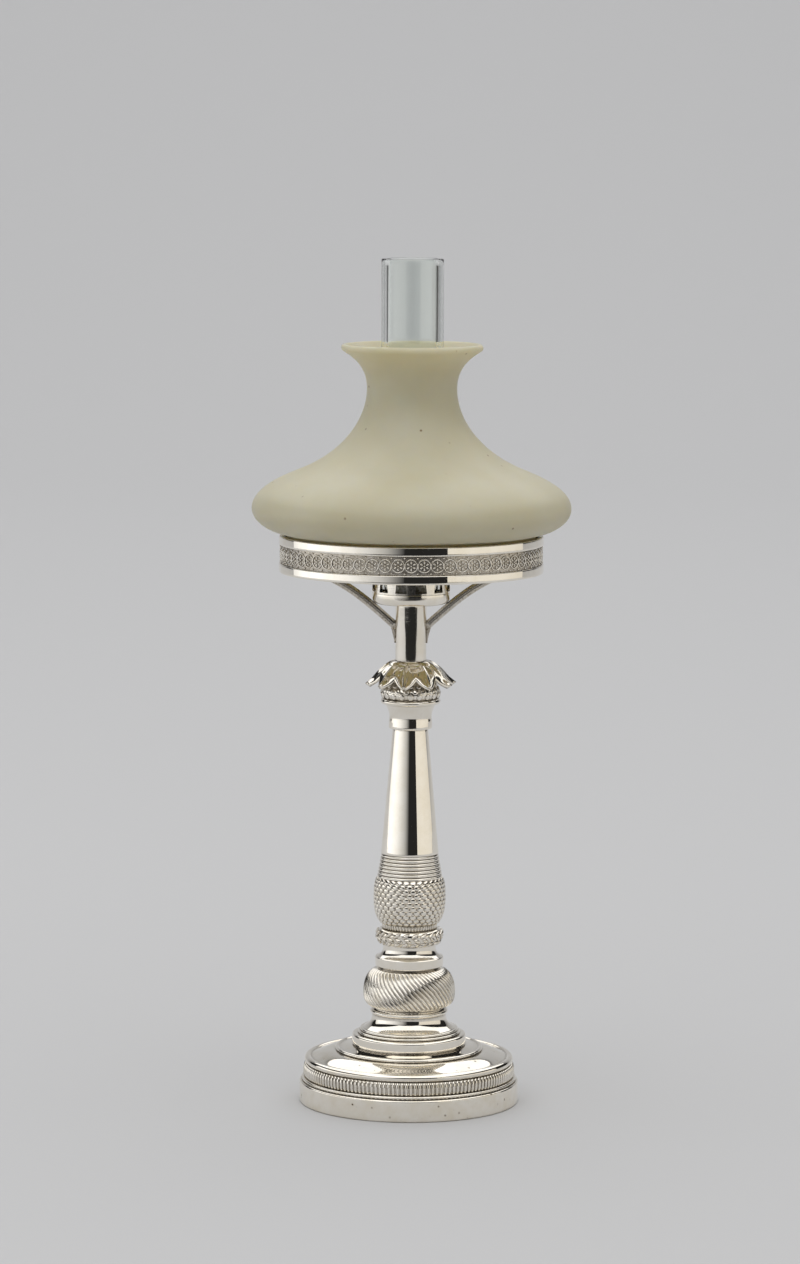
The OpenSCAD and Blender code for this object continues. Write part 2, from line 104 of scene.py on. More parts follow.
def beside(path, distance):
    # the path moved sideways, to the left of its direction
    moved = []
    for i, p in enumerate(path):
        before, after = path[max(i - 1, 0)], path[min(i + 1, len(path) - 1)]
        along = Vector((after[0] - before[0], after[1] - before[1])).normalized()
        moved.append((p[0] - along.y * distance, p[1] + along.x * distance))
    return moved


def eased(outline, radius, steps=3):
    # every sharp corner of a closed outline becomes a small arc
    out = []
    count = len(outline)
    for i, p in enumerate(outline):
        here = Vector(p)
        back = Vector(outline[i - 1]) - here
        ahead = Vector(outline[(i + 1) % count]) - here
        if back.length < 1e-6 or ahead.length < 1e-6:
            continue
        turn = math.pi - back.angle(ahead)
        if turn < math.radians(24):
            out.append(tuple(here))
            continue
        reach = min(radius * math.tan(turn / 2), 0.4 * back.length, 0.4 * ahead.length)
        start, end = here + back.normalized() * reach, here + ahead.normalized() * reach
        for k in range(steps + 1):
            t = k / steps
            out.append(tuple((1 - t) ** 2 * start + 2 * t * (1 - t) * here + t * t * end))
    return out


def divided(outline, longest):
    # long straight runs get points in between, so that dents and shading have something to hold
    out = []
    for i, p in enumerate(outline):
        q = outline[(i + 1) % len(outline)]
        parts = max(1, math.ceil(math.dist(p, q) / longest))
        out += [(p[0] + (q[0] - p[0]) * k / parts, p[1] + (q[1] - p[1]) * k / parts) for k in range(parts)]
    return out


def hollows(outline, reach):
    # 0 on open faces and up to 1 in the outline's inner corners, where polish never reaches
    count = len(outline)
    turns, lengths = [], []
    for i, p in enumerate(outline):
        a, b = outline[i - 1], outline[(i + 1) % count]
        first, second = Vector((p[0] - a[0], p[1] - a[1])), Vector((b[0] - p[0], b[1] - p[1]))
        turns.append(math.atan2(first.x * second.y - first.y * second.x, first.dot(second)))
        lengths.append(second.length)
    depths = []
    for i in range(count):
        total = turns[i]
        for way in (1, -1):
            gone, k = 0.0, i
            while True:
                gone += lengths[k] if way == 1 else lengths[k - 1]
                k = (k + way) % count
                if gone > reach or k == i:
                    break
                total += turns[k] * (1 - gone / reach)
        depths.append(min(1.0, max(0.0, -total / 1.2)))
    return depths


def newMesh(name, points, faces, recess=None):
    mesh = bpy.data.meshes.new(name)
    mesh.from_pydata([tuple(Vector(p) * mm) for p in points], [], faces)
    if recess is not None:
        mesh.attributes.new("recess", "FLOAT", "POINT").data.foreach_set("value", recess)
    mesh.update()
    return mesh


def newObject(name, mesh):
    obj = bpy.data.objects.new(name, mesh)
    bpy.context.scene.collection.objects.link(obj)
    return obj


def skin(rings, recess=None, capped=True):
    # points and faces of a tube through rings of points, closed at its ends
    points = [p for ring in rings for p in ring]
    across = len(rings[0])
    faces = []
    for i in range(len(rings) - 1):
        for k in range(across):
            n = (k + 1) % across
            faces.append((i * across + k, i * across + n, (i + 1) * across + n, (i + 1) * across + k))
    if capped:
        faces.append(tuple(range(across))[::-1])
        faces.append(tuple(range((len(rings) - 1) * across, len(rings) * across)))
    values = [v for row in recess for v in row] if recess else [0.0] * len(points)
    return points, faces, values


def joinedSkins(skins):
    points, faces, values = [], [], []
    for p, f, v in skins:
        base = len(points)
        points += p
        faces += [tuple(base + i for i in face) for face in f]
        values += v
    return points, faces, values


def outward(mesh):
    # faces turned outwards and shaded smooth
    edit = bmesh.new()
    edit.from_mesh(mesh)
    bmesh.ops.recalc_face_normals(edit, faces=edit.faces)
    edit.to_mesh(mesh)
    edit.free()
    mesh.shade_smooth()


def grown(name, source, tree, values, material):
    # runs a Geometry Nodes tree on a mesh and keeps its result as a plain mesh
    holder = newObject(name + "Source", source)
    modifier = holder.modifiers.new(tree.name, "NODES")
    modifier.node_group = tree
    sockets = {s.name: s.identifier for s in tree.interface.items_tree if s.in_out == "INPUT"}
    for label, value in dict(values, Material=material).items():
        modifier[sockets[label]] = value
    graph = bpy.context.evaluated_depsgraph_get()
    mesh = bpy.data.meshes.new_from_object(holder.evaluated_get(graph), preserve_all_data_layers=True,
                                           depsgraph=graph)
    bpy.data.objects.remove(holder)
    mesh.name = name
    outward(mesh)
    return newObject(name, mesh)


def finished(obj, body, slot, node=None):
    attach(obj, body)
    if node:
        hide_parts(node)
    return obj


# The two trees: a form turned about the axis, and copies set round the axis in rows

def turningTree():
    tree, given, result = startTree("turnedForm", [
        ("Steps Round", "Int", 192), ("Flutes", "Float", 0.0), ("Flute Depth", "Float", 0.0),
        ("Flute Twist", "Float", 0.0), ("Dent Depth", "Float", 0.0), ("Dent Spacing", "Float", 0.01),
        ("Material", "Material", None)])
    add = partial(addNode, tree)
    outline = given["Geometry"]
    count = add("GeometryNodeAttributeDomainSize", {"Geometry": outline}).outputs["Point Count"]

    grid = add("GeometryNodeMeshGrid", {
        "Size X": 1.0, "Size Y": 1.0, "Vertices X": add("ShaderNodeMath", [count, 1.0], operation="ADD"),
        "Vertices Y": add("ShaderNodeMath", [given["Steps Round"], 1.0], operation="ADD")})
    place = add("ShaderNodeSeparateXYZ", {0: add("GeometryNodeInputPosition")})
    along = add("ShaderNodeMath", [add("ShaderNodeMath", [place.outputs["X"], 0.5], operation="ADD"),
                                   count], operation="MULTIPLY")
    index = add("ShaderNodeMath", [add("ShaderNodeMath", [along], operation="ROUND"), count],
                operation="MODULO")
    turn = add("ShaderNodeMath", [add("ShaderNodeMath", [place.outputs["Y"], 0.5], operation="ADD"),
                                  2 * math.pi], operation="MULTIPLY")

    spot = add("ShaderNodeSeparateXYZ",
                   {0: add("GeometryNodeSampleIndex",
                           {"Geometry": outline, "Value": add("GeometryNodeInputPosition"), "Index": index},
                           data_type="FLOAT_VECTOR")})
    radius, height = spot.outputs["X"], spot.outputs["Z"]
    fluted = add("GeometryNodeSampleIndex",
                 {"Geometry": outline, "Value": add("GeometryNodeInputNamedAttribute", ["fluted"],
                                                    data_type="FLOAT"), "Index": index}, data_type="FLOAT")
    phase = add("ShaderNodeMath", [add("ShaderNodeMath", [turn, add("ShaderNodeMath",
        [given["Flutes"], 0.5], operation="MULTIPLY")], operation="MULTIPLY"),
        add("ShaderNodeMath", [height, given["Flute Twist"]], operation="MULTIPLY")], operation="ADD")
    ridge = add("ShaderNodeMath", [add("ShaderNodeMath", [phase], operation="SINE")], operation="ABSOLUTE")
    valley = add("ShaderNodeMath", [add("ShaderNodeMath", [1.0, ridge], operation="SUBTRACT"), fluted],
                 operation="MULTIPLY")
    radius = add("ShaderNodeMath", [radius, add("ShaderNodeMath", [valley, given["Flute Depth"]],
                                                operation="MULTIPLY")], operation="SUBTRACT")
    point = add("ShaderNodeCombineXYZ", {
        "X": add("ShaderNodeMath", [radius, add("ShaderNodeMath", [turn], operation="COSINE")],
                 operation="MULTIPLY"),
        "Y": add("ShaderNodeMath", [radius, add("ShaderNodeMath", [turn], operation="SINE")],
                 operation="MULTIPLY"), "Z": height})
    dents = add("ShaderNodeTexNoise", {
        "Vector": point, "Scale": add("ShaderNodeMath", [1.0, given["Dent Spacing"]], operation="DIVIDE"),
        "Detail": 1.0})
    push = add("ShaderNodeVectorMath", {0: dents.outputs["Color"], 1: (0.5, 0.5, 0.5)}, operation="SUBTRACT")
    push = add("ShaderNodeVectorMath", {0: push, "Scale": given["Dent Depth"]}, operation="SCALE")
    final = add("ShaderNodeVectorMath", {0: point, 1: push}, operation="ADD")
    form = add("GeometryNodeSetPosition", {"Geometry": grid, "Position": final})
    # the grid's own place is read before it is moved, so the recess is stored first
    marked = add("GeometryNodeStoreNamedAttribute", {
        "Geometry": grid, "Name": "recess",
        "Value": add("ShaderNodeMath", [add("GeometryNodeSampleIndex", {"Geometry": outline,
            "Value": add("GeometryNodeInputNamedAttribute", ["recess"], data_type="FLOAT"), "Index": index},
            data_type="FLOAT"), add("ShaderNodeMath", [valley, 1.5], operation="POWER")],
            operation="MAXIMUM")}, data_type="FLOAT")
    tree.links.new(marked.outputs[0], form.inputs["Geometry"])
    closed = add("GeometryNodeMergeByDistance", {"Geometry": form, "Distance": 1e-7})
    real = add("GeometryNodeRealizeInstances", {"Geometry": closed})
    painted = add("GeometryNodeSetMaterial", {"Geometry": real, "Material": given["Material"]})
    tree.links.new(painted.outputs[0], result["Geometry"])
    return tree


def rowsTree():
    tree, given, result = startTree("copiesInRows", [
        ("Copy", "Object", None), ("Columns", "Int", 12), ("Stagger", "Float", 0.0),
        ("Start Angle", "Float", 0.0),
        ("Twist per Row", "Float", 0.0), ("Unevenness", "Float", 0.0), ("Seed", "Int", 1),
        ("Material", "Material", None)])
    add = partial(addNode, tree)

    rows = add("GeometryNodeStoreNamedAttribute", {
        "Geometry": given["Geometry"], "Name": "row", "Value": add("GeometryNodeInputIndex")},
        data_type="FLOAT")
    many = add("GeometryNodeDuplicateElements",
                   {"Geometry": rows, "Amount": given["Columns"]}, domain="POINT")
    row = add("GeometryNodeInputNamedAttribute", ["row"], data_type="FLOAT")
    column = add("ShaderNodeMath", [many.outputs["Duplicate Index"], add("ShaderNodeMath",
        [given["Stagger"], add("ShaderNodeMath", [row, 2.0], operation="MODULO")], operation="MULTIPLY")],
        operation="ADD")
    turn = add("ShaderNodeMath", [add("ShaderNodeMath", [column, 2 * math.pi], operation="MULTIPLY"),
                                  given["Columns"]], operation="DIVIDE")
    turn = add("ShaderNodeMath", [turn, add("ShaderNodeMath", [given["Start Angle"],
        add("ShaderNodeMath", [row, given["Twist per Row"]], operation="MULTIPLY")], operation="ADD")],
        operation="ADD")
    kept = add("GeometryNodeStoreNamedAttribute",
                   {"Geometry": many.outputs["Geometry"], "Name": "turn", "Value": turn}, data_type="FLOAT")
    turn = add("GeometryNodeInputNamedAttribute", ["turn"], data_type="FLOAT")
    place = add("ShaderNodeSeparateXYZ", {0: add("GeometryNodeInputPosition")})
    point = add("ShaderNodeCombineXYZ", {
        "X": add("ShaderNodeMath", [place.outputs["X"], add("ShaderNodeMath", [turn], operation="COSINE")],
                 operation="MULTIPLY"),
        "Y": add("ShaderNodeMath", [place.outputs["X"], add("ShaderNodeMath", [turn], operation="SINE")],
                 operation="MULTIPLY"), "Z": place.outputs["Z"]})
    spread = add("GeometryNodeSetPosition", {"Geometry": kept, "Position": point})
    facing = add("ShaderNodeCombineXYZ", {"Y": add("ShaderNodeMath", [add("GeometryNodeInputNamedAttribute",
        ["tilt"], data_type="FLOAT"), -1.0], operation="MULTIPLY"), "Z": turn})
    facing = add("FunctionNodeEulerToRotation", {0: facing})
    vary = add("FunctionNodeRandomValue", {
        "Min": add("ShaderNodeMath", [1.0, given["Unevenness"]], operation="SUBTRACT"),
        "Max": add("ShaderNodeMath", [1.0, given["Unevenness"]], operation="ADD"),
        "Seed": given["Seed"]}, data_type="FLOAT")
    randomSize = [s for s in vary.outputs if s.type == "VALUE"][0]
    source = add("GeometryNodeObjectInfo", {"Object": given["Copy"]}, transform_space="ORIGINAL")
    placed = add("GeometryNodeInstanceOnPoints", {
        "Points": spread, "Instance": source.outputs["Geometry"], "Rotation": facing,
        "Scale": add("ShaderNodeMath", [add("GeometryNodeInputNamedAttribute", ["size"], data_type="FLOAT"),
                                        randomSize], operation="MULTIPLY")})
    real = add("GeometryNodeRealizeInstances", {"Geometry": placed})
    painted = add("GeometryNodeSetMaterial", {"Geometry": real, "Material": given["Material"]})
    tree.links.new(painted.outputs[0], result["Geometry"])
    return tree


turnedForm = turningTree()
copiesInRows = rowsTree()


def turned(name, outline, material, node=None, edge=0.06, longest=0.3, around=192, fluted=None, flutes=0,
           depth=0.0, twist=0.0,
           dent=0.006, dentSpacing=4.0, recessReach=0.3):
    # outline: points of a closed section in mm, going round anticlockwise
    shape = divided(eased(outline, edge), longest)
    mesh = newMesh(name, [(r, 0, z) for r, z in shape], [], hollows(shape, recessReach))
    marks = [fluted(r, z) if fluted else 0.0 for r, z in shape]
    mesh.attributes.new("fluted", "FLOAT", "POINT").data.foreach_set("value", marks)
    obj = grown(name, mesh, turnedForm, {
        "Steps Round": around, "Flutes": float(flutes), "Flute Depth": depth * mm, "Flute Twist": twist / mm,
        "Dent Depth": dent * mm, "Dent Spacing": dentSpacing * mm}, material)
    return finished(obj, *places[material.name], node)


def copies(name, copySkin, rows, columns, material, node=None, stagger=0.0, start=0.0, twist=0.0,
           unevenness=0.0, seed=1):
    # rows: (radius, level, tilt in degrees, size); a copy faces +X and stands along +Z
    mesh = newMesh(name, [(r, 0, z) for r, z, _, _ in rows], [])
    mesh.attributes.new("tilt", "FLOAT", "POINT").data.foreach_set("value",
        [math.radians(t) for _, _, t, _ in rows])
    mesh.attributes.new("size", "FLOAT", "POINT").data.foreach_set("value", [s for _, _, _, s in rows])
    copy = newObject(name + "Copy", newMesh(name + "Copy", *copySkin))
    outward(copy.data)
    obj = grown(name, mesh, copiesInRows, {
        "Copy": copy, "Columns": columns, "Stagger": stagger, "Start Angle": math.radians(start),
        "Twist per Row": math.radians(twist), "Unevenness": unevenness, "Seed": seed}, material)
    bpy.data.objects.remove(copy)
    return finished(obj, *places[material.name], node)


# Materials

def linear(colour):
    # sRGB hex to the linear colour that shaders take
    parts = [int(colour[i:i + 2], 16) / 255 for i in (1, 3, 5)]
    return [c / 12.92 if c <= 0.04045 else ((c + 0.055) / 1.055) ** 2.4 for c in parts] + [1.0]


def startMaterial(name):
    material = bpy.data.materials.new(name)
    material.use_nodes = True
    tree = material.node_tree
    tree.nodes.clear()
    output = tree.nodes.new("ShaderNodeOutputMaterial")
    add = partial(addNode, tree)
    return material, tree, output, add, add("ShaderNodeTexCoord").outputs["Object"]


def perMm(spacing):
    return 1 / (spacing * mm)  # noise scale for a spacing in mm


silverLook = {
    "bare": "#f7f2e8",       # clean silver, a little warm
    "tarnish": "#5a4a34",    # brown sulphide left in the hollows
    "film": "#e2d6bb",       # thin yellow film between polishings
}


def silver(name, roughness, recessReach, recessStrength, film, lineDepth, pits=0.0):
    # sterling silver, turned on a lathe and hand polished: mirror bright with hairlines round the axis,
    # and brown where the cloth can't reach
    material, tree, output, add, place = startMaterial(name)
    noise = add("ShaderNodeTexNoise", {"Vector": place, "Scale": perMm(2.6), "Detail": 4.0, "Roughness": 0.6})
    fine = add("ShaderNodeTexNoise", {"Vector": place, "Scale": perMm(0.35), "Detail": 3.0})
    near = add("ShaderNodeAmbientOcclusion", {"Distance": recessReach * mm}, samples=6)
    closeIn = add("ShaderNodeMapRange", [near.outputs["AO"], 0.88, 0.35])
    stored = add("ShaderNodeAttribute", attribute_name="recess").outputs["Fac"]
    hollow = add("ShaderNodeMath", {0: closeIn, 1: stored}, operation="MAXIMUM")
    patchy = add("ShaderNodeMapRange", [fine, 0.3, 0.7, 0.55, 1.15])
    dirt = add("ShaderNodeMath", {0: hollow, 1: patchy}, operation="MULTIPLY")
    dirt = add("ShaderNodeMath", {0: dirt, 1: recessStrength}, operation="MULTIPLY",
               use_clamp=True)
    yellow = add("ShaderNodeMapRange", [noise, 0.42, 0.68, 0.0, film])
    colour = add("ShaderNodeMix", {0: yellow, 6: linear(silverLook["bare"]), 7: linear(silverLook["film"])},
                 data_type="RGBA").outputs[2]
    colour = add("ShaderNodeMix", {0: dirt, 6: colour, 7: linear(silverLook["tarnish"])},
                 data_type="RGBA").outputs[2]
    rough = add("ShaderNodeMapRange", [noise, 0.3, 0.75, roughness * 0.8, roughness * 1.35])
    rough = add("ShaderNodeMath", {0: dirt, 1: 0.35, 2: rough}, operation="MULTIPLY_ADD")
    if pits:
        # small pits and stains in the foot, where it has been handled
        spots = add("ShaderNodeTexVoronoi", {"Vector": place, "Scale": perMm(1.1), "Randomness": 1.0})
        chosen = add("ShaderNodeMapRange", [noise, 0.5, 0.62])
        spot = add("ShaderNodeMath", {0: add("ShaderNodeMapRange", [spots, 0.22, 0.1]),
                                      1: chosen},
                       operation="MULTIPLY")
        spot = add("ShaderNodeMath", {0: spot, 1: pits}, operation="MULTIPLY")
        colour = add("ShaderNodeMix", {0: spot, 6: colour, 7: linear(silverLook["tarnish"])},
                     data_type="RGBA").outputs[2]
        rough = add("ShaderNodeMath", {0: spot, 1: 0.4, 2: rough}, operation="MULTIPLY_ADD")
    # hairlines: noise that changes quickly with height and radius and slowly round the axis
    parts = add("ShaderNodeSeparateXYZ", {0: place})
    flat = add("ShaderNodeCombineXYZ", {"X": parts.outputs["X"], "Y": parts.outputs["Y"]})
    out = add("ShaderNodeVectorMath", {0: flat}, operation="LENGTH").outputs["Value"]
    section = add("ShaderNodeCombineXYZ", {"X": out, "Y": parts.outputs["Z"]})
    lines = add("ShaderNodeTexNoise", {"Vector": section, "Scale": perMm(0.16), "Detail": 2.0})
    bump = add("ShaderNodeBump", {"Height": lines, "Distance": lineDepth * mm,
                                  "Strength": 1.0})
    bump = add("ShaderNodeBump", {"Height": fine, "Distance": lineDepth * mm, "Strength": 0.6,
                                            "Normal": bump})
    body = add("ShaderNodeBsdfPrincipled", {
        "Base Color": colour, "Metallic": 1.0, "Roughness": rough, "Normal": bump})
    tree.links.new(body.outputs[0], output.inputs["Surface"])
    return material


turnedSilver = silver("turnedPolishedSterlingSilver", 0.035, 0.35, 0.7, 0.25, 0.0008)
footSilver = silver("handledPolishedSterlingSilver", 0.05, 0.35, 0.75, 0.4, 0.001, pits=0.9)
chasedSilver = silver("chasedOxidisedSterlingSilver", 0.09, 0.28, 0.9, 0.35, 0.0015)
wireSilver = silver("filedSilverWire", 0.28, 0.5, 0.9, 1.0, 0.004)


def opalGlass():
    # frosted opal glass, blown and acid etched: milky cream, light soaks in, a soft sheen outside
    look = {"body": "#ddd7bd", "thin": "#e8e4d2", "speck": "#8a6a3a", "roughness": 0.42}
    material, tree, output, add, place = startMaterial("frostedOpalGlass")
    cloud = add("ShaderNodeTexNoise", {"Vector": place, "Scale": perMm(9.0), "Detail": 3.0})
    colour = add("ShaderNodeMix", {0: add("ShaderNodeMapRange", [cloud, 0.35, 0.7, 0.0,
        0.5]), 6: linear(look["body"]), 7: linear(look["thin"])}, data_type="RGBA").outputs[2]
    specks = add("ShaderNodeTexVoronoi", {"Vector": place, "Scale": perMm(2.2), "Randomness": 1.0})
    sparse = add("ShaderNodeTexNoise", {"Vector": place, "Scale": perMm(5.0), "Detail": 2.0})
    speck = add("ShaderNodeMath", {
        0: add("ShaderNodeMapRange", [specks, 0.11, 0.04]),
        1: add("ShaderNodeMapRange", [sparse, 0.6, 0.66])},
        operation="MULTIPLY")
    colour = add("ShaderNodeMix", {0: speck, 6: colour, 7: linear(look["speck"])},
                 data_type="RGBA").outputs[2]
    grain = add("ShaderNodeTexNoise", {"Vector": place, "Scale": perMm(0.25), "Detail": 2.0})
    bump = add("ShaderNodeBump", {"Height": grain, "Distance": 0.003 * mm, "Strength": 1.0})
    body = add("ShaderNodeBsdfPrincipled", {
        "Base Color": colour, "Roughness": look["roughness"], "IOR": 1.5, "Subsurface Weight": 0.8,
        "Subsurface Radius": (1.0, 0.85, 0.6), "Subsurface Scale": 2.0 * mm, "Normal": bump})
    through = add("ShaderNodeBsdfTranslucent", {"Color": colour})
    both = add("ShaderNodeMixShader", {0: 0.3, 1: body, 2: through})
    tree.links.new(both.outputs[0], output.inputs["Surface"])
    return material


def clearGlass():
    # drawn soda glass tube: clear, with a faint film and fine drawing lines
    look = {"body": "#f4f7f5", "film": 0.04}
    material, tree, output, add, place = startMaterial("drawnClearGlass")
    stretch = add("ShaderNodeMapping", {"Vector": place, "Scale": (1.0, 1.0, 0.08)})
    lines = add("ShaderNodeTexNoise", {"Vector": stretch, "Scale": perMm(1.2), "Detail": 2.0})
    bump = add("ShaderNodeBump", {"Height": lines, "Distance": 0.006 * mm, "Strength": 1.0})
    rough = add("ShaderNodeMapRange", [lines, 0.3, 0.7, 0.0, look["film"]])
    body = add("ShaderNodeBsdfPrincipled", {
        "Base Color": linear(look["body"]), "Roughness": rough, "IOR": 1.5, "Transmission Weight": 1.0,
        "Normal": bump})
    tree.links.new(body.outputs[0], output.inputs["Surface"])
    return material


shadeGlass = opalGlass()
chimneyGlass = clearGlass()
places = {  # the body and slot that each finish belongs to
    turnedSilver.name: ("stand", "silver"),
    footSilver.name: ("stand", "silver"),
    chasedSilver.name: ("stand", "ornament_silver"),
    shadeGlass.name: ("shade", "frosted_glass"),
    chimneyGlass.name: ("chimney", "clear_glass"),
}
print("materials made")
boreR = 0.85  # bore through the stem's pieces, for the tie rod


def threaded(outline, bore=boreR):
    # a section from its bottom outer edge up, closed along the bore
    return outline + [(bore, outline[-1][1]), (bore, outline[0][1])]


# The foot

def footBand():
    sizes = {"wall": 0.8, "ledge": 2.2, "ledgeThickness": 0.6, "edge": 0.25}
    low, top, r = extent("foot_band")
    low += 0.015  # room for the dents above the table
    edge, wall = sizes["edge"], sizes["wall"]
    inner = r - sizes["ledge"]
    under = top - sizes["ledgeThickness"]
    outline = [(r - wall, low), (r, low)] + arc((r - edge, top - edge), edge, 0, 90)
    outline += [(inner, top), (inner, under), (r - wall, under)]
    turned("footBand", outline, footSilver, "foot_band", edge=0.12, around=256, dent=0.02, dentSpacing=7)


def bar(path, width, depth, across=6):
    # a rounded bar that follows a path of (x, z) points and stands out from it by depth
    rings, marks = [], []
    count = len(path)
    for i, (x, z) in enumerate(path):
        end = min(i, count - 1 - i)
        shrink = (0.35, 0.8, 1.0)[min(end, 2)]
        before, after = path[max(i - 1, 0)], path[min(i + 1, count - 1)]
        along = Vector((after[0] - before[0], after[1] - before[1])).normalized()
        out = (along.y, -along.x)
        ring, mark = [], []
        for k in range(across):
            t = math.pi * k / (across - 1)
            rise = (math.sin(t) - 0.25) * depth * shrink
            ring.append((x + out[0] * rise, -math.cos(t) * width / 2 * shrink, z + out[1] * rise))
            mark.append(1.0 - math.sin(t) if end else 1.0)
        rings.append(ring)
        marks.append(mark)
    return skin(rings, marks)


def footMilledRing():
    sizes = {"innerR": 13.6, "ribs": 150, "ribDepth": 0.3, "ribWidth": 0.54, "bulge": 0.3}
    low, top, r = extent("foot_milled_ring")
    bulge, core = sizes["bulge"], r - sizes["ribDepth"]
    face = curve((core - bulge, low + 0.02), (core, low + bulge), (core, top - bulge),
                 (core - bulge - 0.1, top - 0.02), 12)
    turned("footMilledCore", [(sizes["innerR"], low)] + face + [(sizes["innerR"], top)], chasedSilver,
           "foot_milled_ring", around=256)
    rib = bar(face, sizes["ribWidth"], sizes["ribDepth"])
    copies("footMilledRibs", rib, [(0, 0, 0, 1)], sizes["ribs"], chasedSilver)


def ball(radius, squash=1.0, around=8, rows=5, mark=0.0):
    rings = []
    for i in range(1, rows):
        t = math.pi * i / rows - math.pi / 2
        rings.append([(radius * math.cos(t) * math.cos(2 * math.pi * k / around),
                       radius * math.cos(t) * math.sin(2 * math.pi * k / around),
                       radius * squash * math.sin(t)) for k in range(around)])
    return skin(rings, [[mark] * around for _ in rings])


def footWire():
    sizes = {"innerR": 13.6, "wireR": 0.19, "beadR": 0.16, "beads": 150}
    low, top, r = extent("foot_wire")
    wire, bead = sizes["wireR"], sizes["beadR"]
    inner = sizes["innerR"]
    core = [(inner, low), (r - 2.2 * bead, low), (r - 2.2 * bead, top - 2 * wire)]
    core += arc((r - wire, top - wire), wire, -90, 90, 8) + [(inner, top)]
    turned("footWireCore", core, chasedSilver, "foot_wire", edge=0.03, longest=0.2, around=256)
    rows = [(r - bead - 0.02, low + bead * 0.8, 0, 1)]
    copies("footWireBeads", ball(bead, 0.8), rows, sizes["beads"], chasedSilver, start=0.4)


def footDome():
    sizes = {"rimIn": 13.6, "bead": 0.55, "wall": 0.5, "crownR": 10.3}
    low, top, r = extent("foot_dome")
    bead = sizes["bead"]
    centre = (r - bead, low + bead)
    rimEnd = (centre[0] + bead * math.cos(math.radians(135)), centre[1] + bead * math.sin(math.radians(135)))
    back = curve(rimEnd, plus(rimEnd, -1.2, 0.3), (sizes["crownR"] + 1.4, top), (sizes["crownR"], top), 24)
    under = beside(back, sizes["wall"])
    outline = [(sizes["rimIn"], low)] + arc(centre, bead, -90, 135, 16) + back[1:]
    outline += [(boreR, top), (boreR, top - sizes["wall"])] + under[:4:-1]
    turned("footDome", outline, footSilver, "foot_dome", edge=0.05, around=256, dent=0.05, dentSpacing=6)


def footFlange():
    low, top, r = extent("foot_flange")
    tierR = extent("foot_tier")[2]
    edge = 0.25
    outline = arc((r - edge, low + edge), edge, -90, 120)
    outline += curve((r - 2.4 * edge, low + 1.5 * edge), (r - 5 * edge, low + 1.5 * edge),
                     (tierR + 0.6, top - 0.1), (tierR, top), 8)
    turned("footFlange", threaded(outline), turnedSilver, "foot_flange", around=224, dent=0.02)


def footTier():
    low, top, r = extent("foot_tier")
    groove, edge = 0.2, 0.35
    outline = [(r - groove, low), (r - groove, low + groove),
               (r, low + groove)] + arc((r - edge, top - edge), edge, 0, 90)
    turned("footTier", threaded(outline), turnedSilver, "foot_tier", around=208, dent=0.03, dentSpacing=5)


def footBeads():
    low, top, r = extent("foot_beads")
    each = (top - low) / 4
    outline = arc((r - each, low + each), each, -90, 80) + arc((r - 2.5 * each, low + 3 * each), each, -80,
        90)
    turned("footBeads", threaded(outline), turnedSilver, "foot_beads", edge=0.03, dent=0.015)


def footNeck():
    sizes = {"waist": 5.25, "collar": 0.3}
    low, top, r = extent("foot_neck")
    waist, collar = sizes["waist"], sizes["collar"]
    outline = curve((r, low), (waist + 0.3, low + 0.5), (waist, low + 1), (waist, top - 3 * collar), 16)
    outline += arc((waist, top - 2 * collar), collar, -80, 80) + [(waist - 0.1, top)]
    turned("footNeck", threaded(outline), turnedSilver, "foot_neck", edge=0.04, dent=0.015)


footBand()
footMilledRing()
footWire()
footDome()
footFlange()
footTier()
footBeads()
footNeck()
print("foot made")


# The stem

def swirlKnop():
    sizes = {"endR": 4.9, "widest": 2.1, "flutes": 54, "depth": 0.34, "sweep": 42}
    low, top, r = extent("swirl_knop")
    middle = (r, low + sizes["widest"])
    end = sizes["endR"]
    lower = curve((end + 0.3, low), (r - 0.2, low + 0.4), (r, low + 0.5 * sizes["widest"]), middle, 16)
    upper = curve(middle, plus(middle, 0, 1.8), (r - 0.5, top - 0.6), (end - 0.2, top), 20)
    height = top - low

    def fluted(x, z):
        if x < end - 0.3:
            return 0.0
        return min(1.0, max(0.0, (z - low) / 0.5)) * min(1.0, max(0.15, (top - z) / 0.4))

    twist = math.radians(sizes["sweep"]) / height * sizes["flutes"] / 2
    turned("swirlKnop", threaded(lower + upper[1:]), chasedSilver, "swirl_knop", longest=0.22,
           around=sizes["flutes"] * 8, fluted=fluted, flutes=sizes["flutes"], depth=sizes["depth"],
           twist=twist, dent=0.01)


def collarDisc():
    sizes = {"groove": 0.6, "grooveHeight": 0.3, "edge": 0.12}
    low, top, r = extent("collar_disc")
    edge, lift = sizes["edge"], sizes["grooveHeight"]
    outline = [(r - sizes["groove"], low), (r - sizes["groove"], low + lift), (r - edge, low + lift),
               (r, low + lift + edge), (r, top - edge), (r - edge, top)]
    turned("collarDisc", threaded(outline), turnedSilver, "collar_disc", dent=0.015)


def spoolNeck():
    low, top, foot = extent("spool_neck")
    waist = 3.75
    outline = curve((foot, low), (waist + 0.1, low + 0.3), (waist, low + 0.7), (waist, top), 14)
    turned("spoolNeck", threaded(outline), turnedSilver, "spool_neck", edge=0.04, dent=0.012)


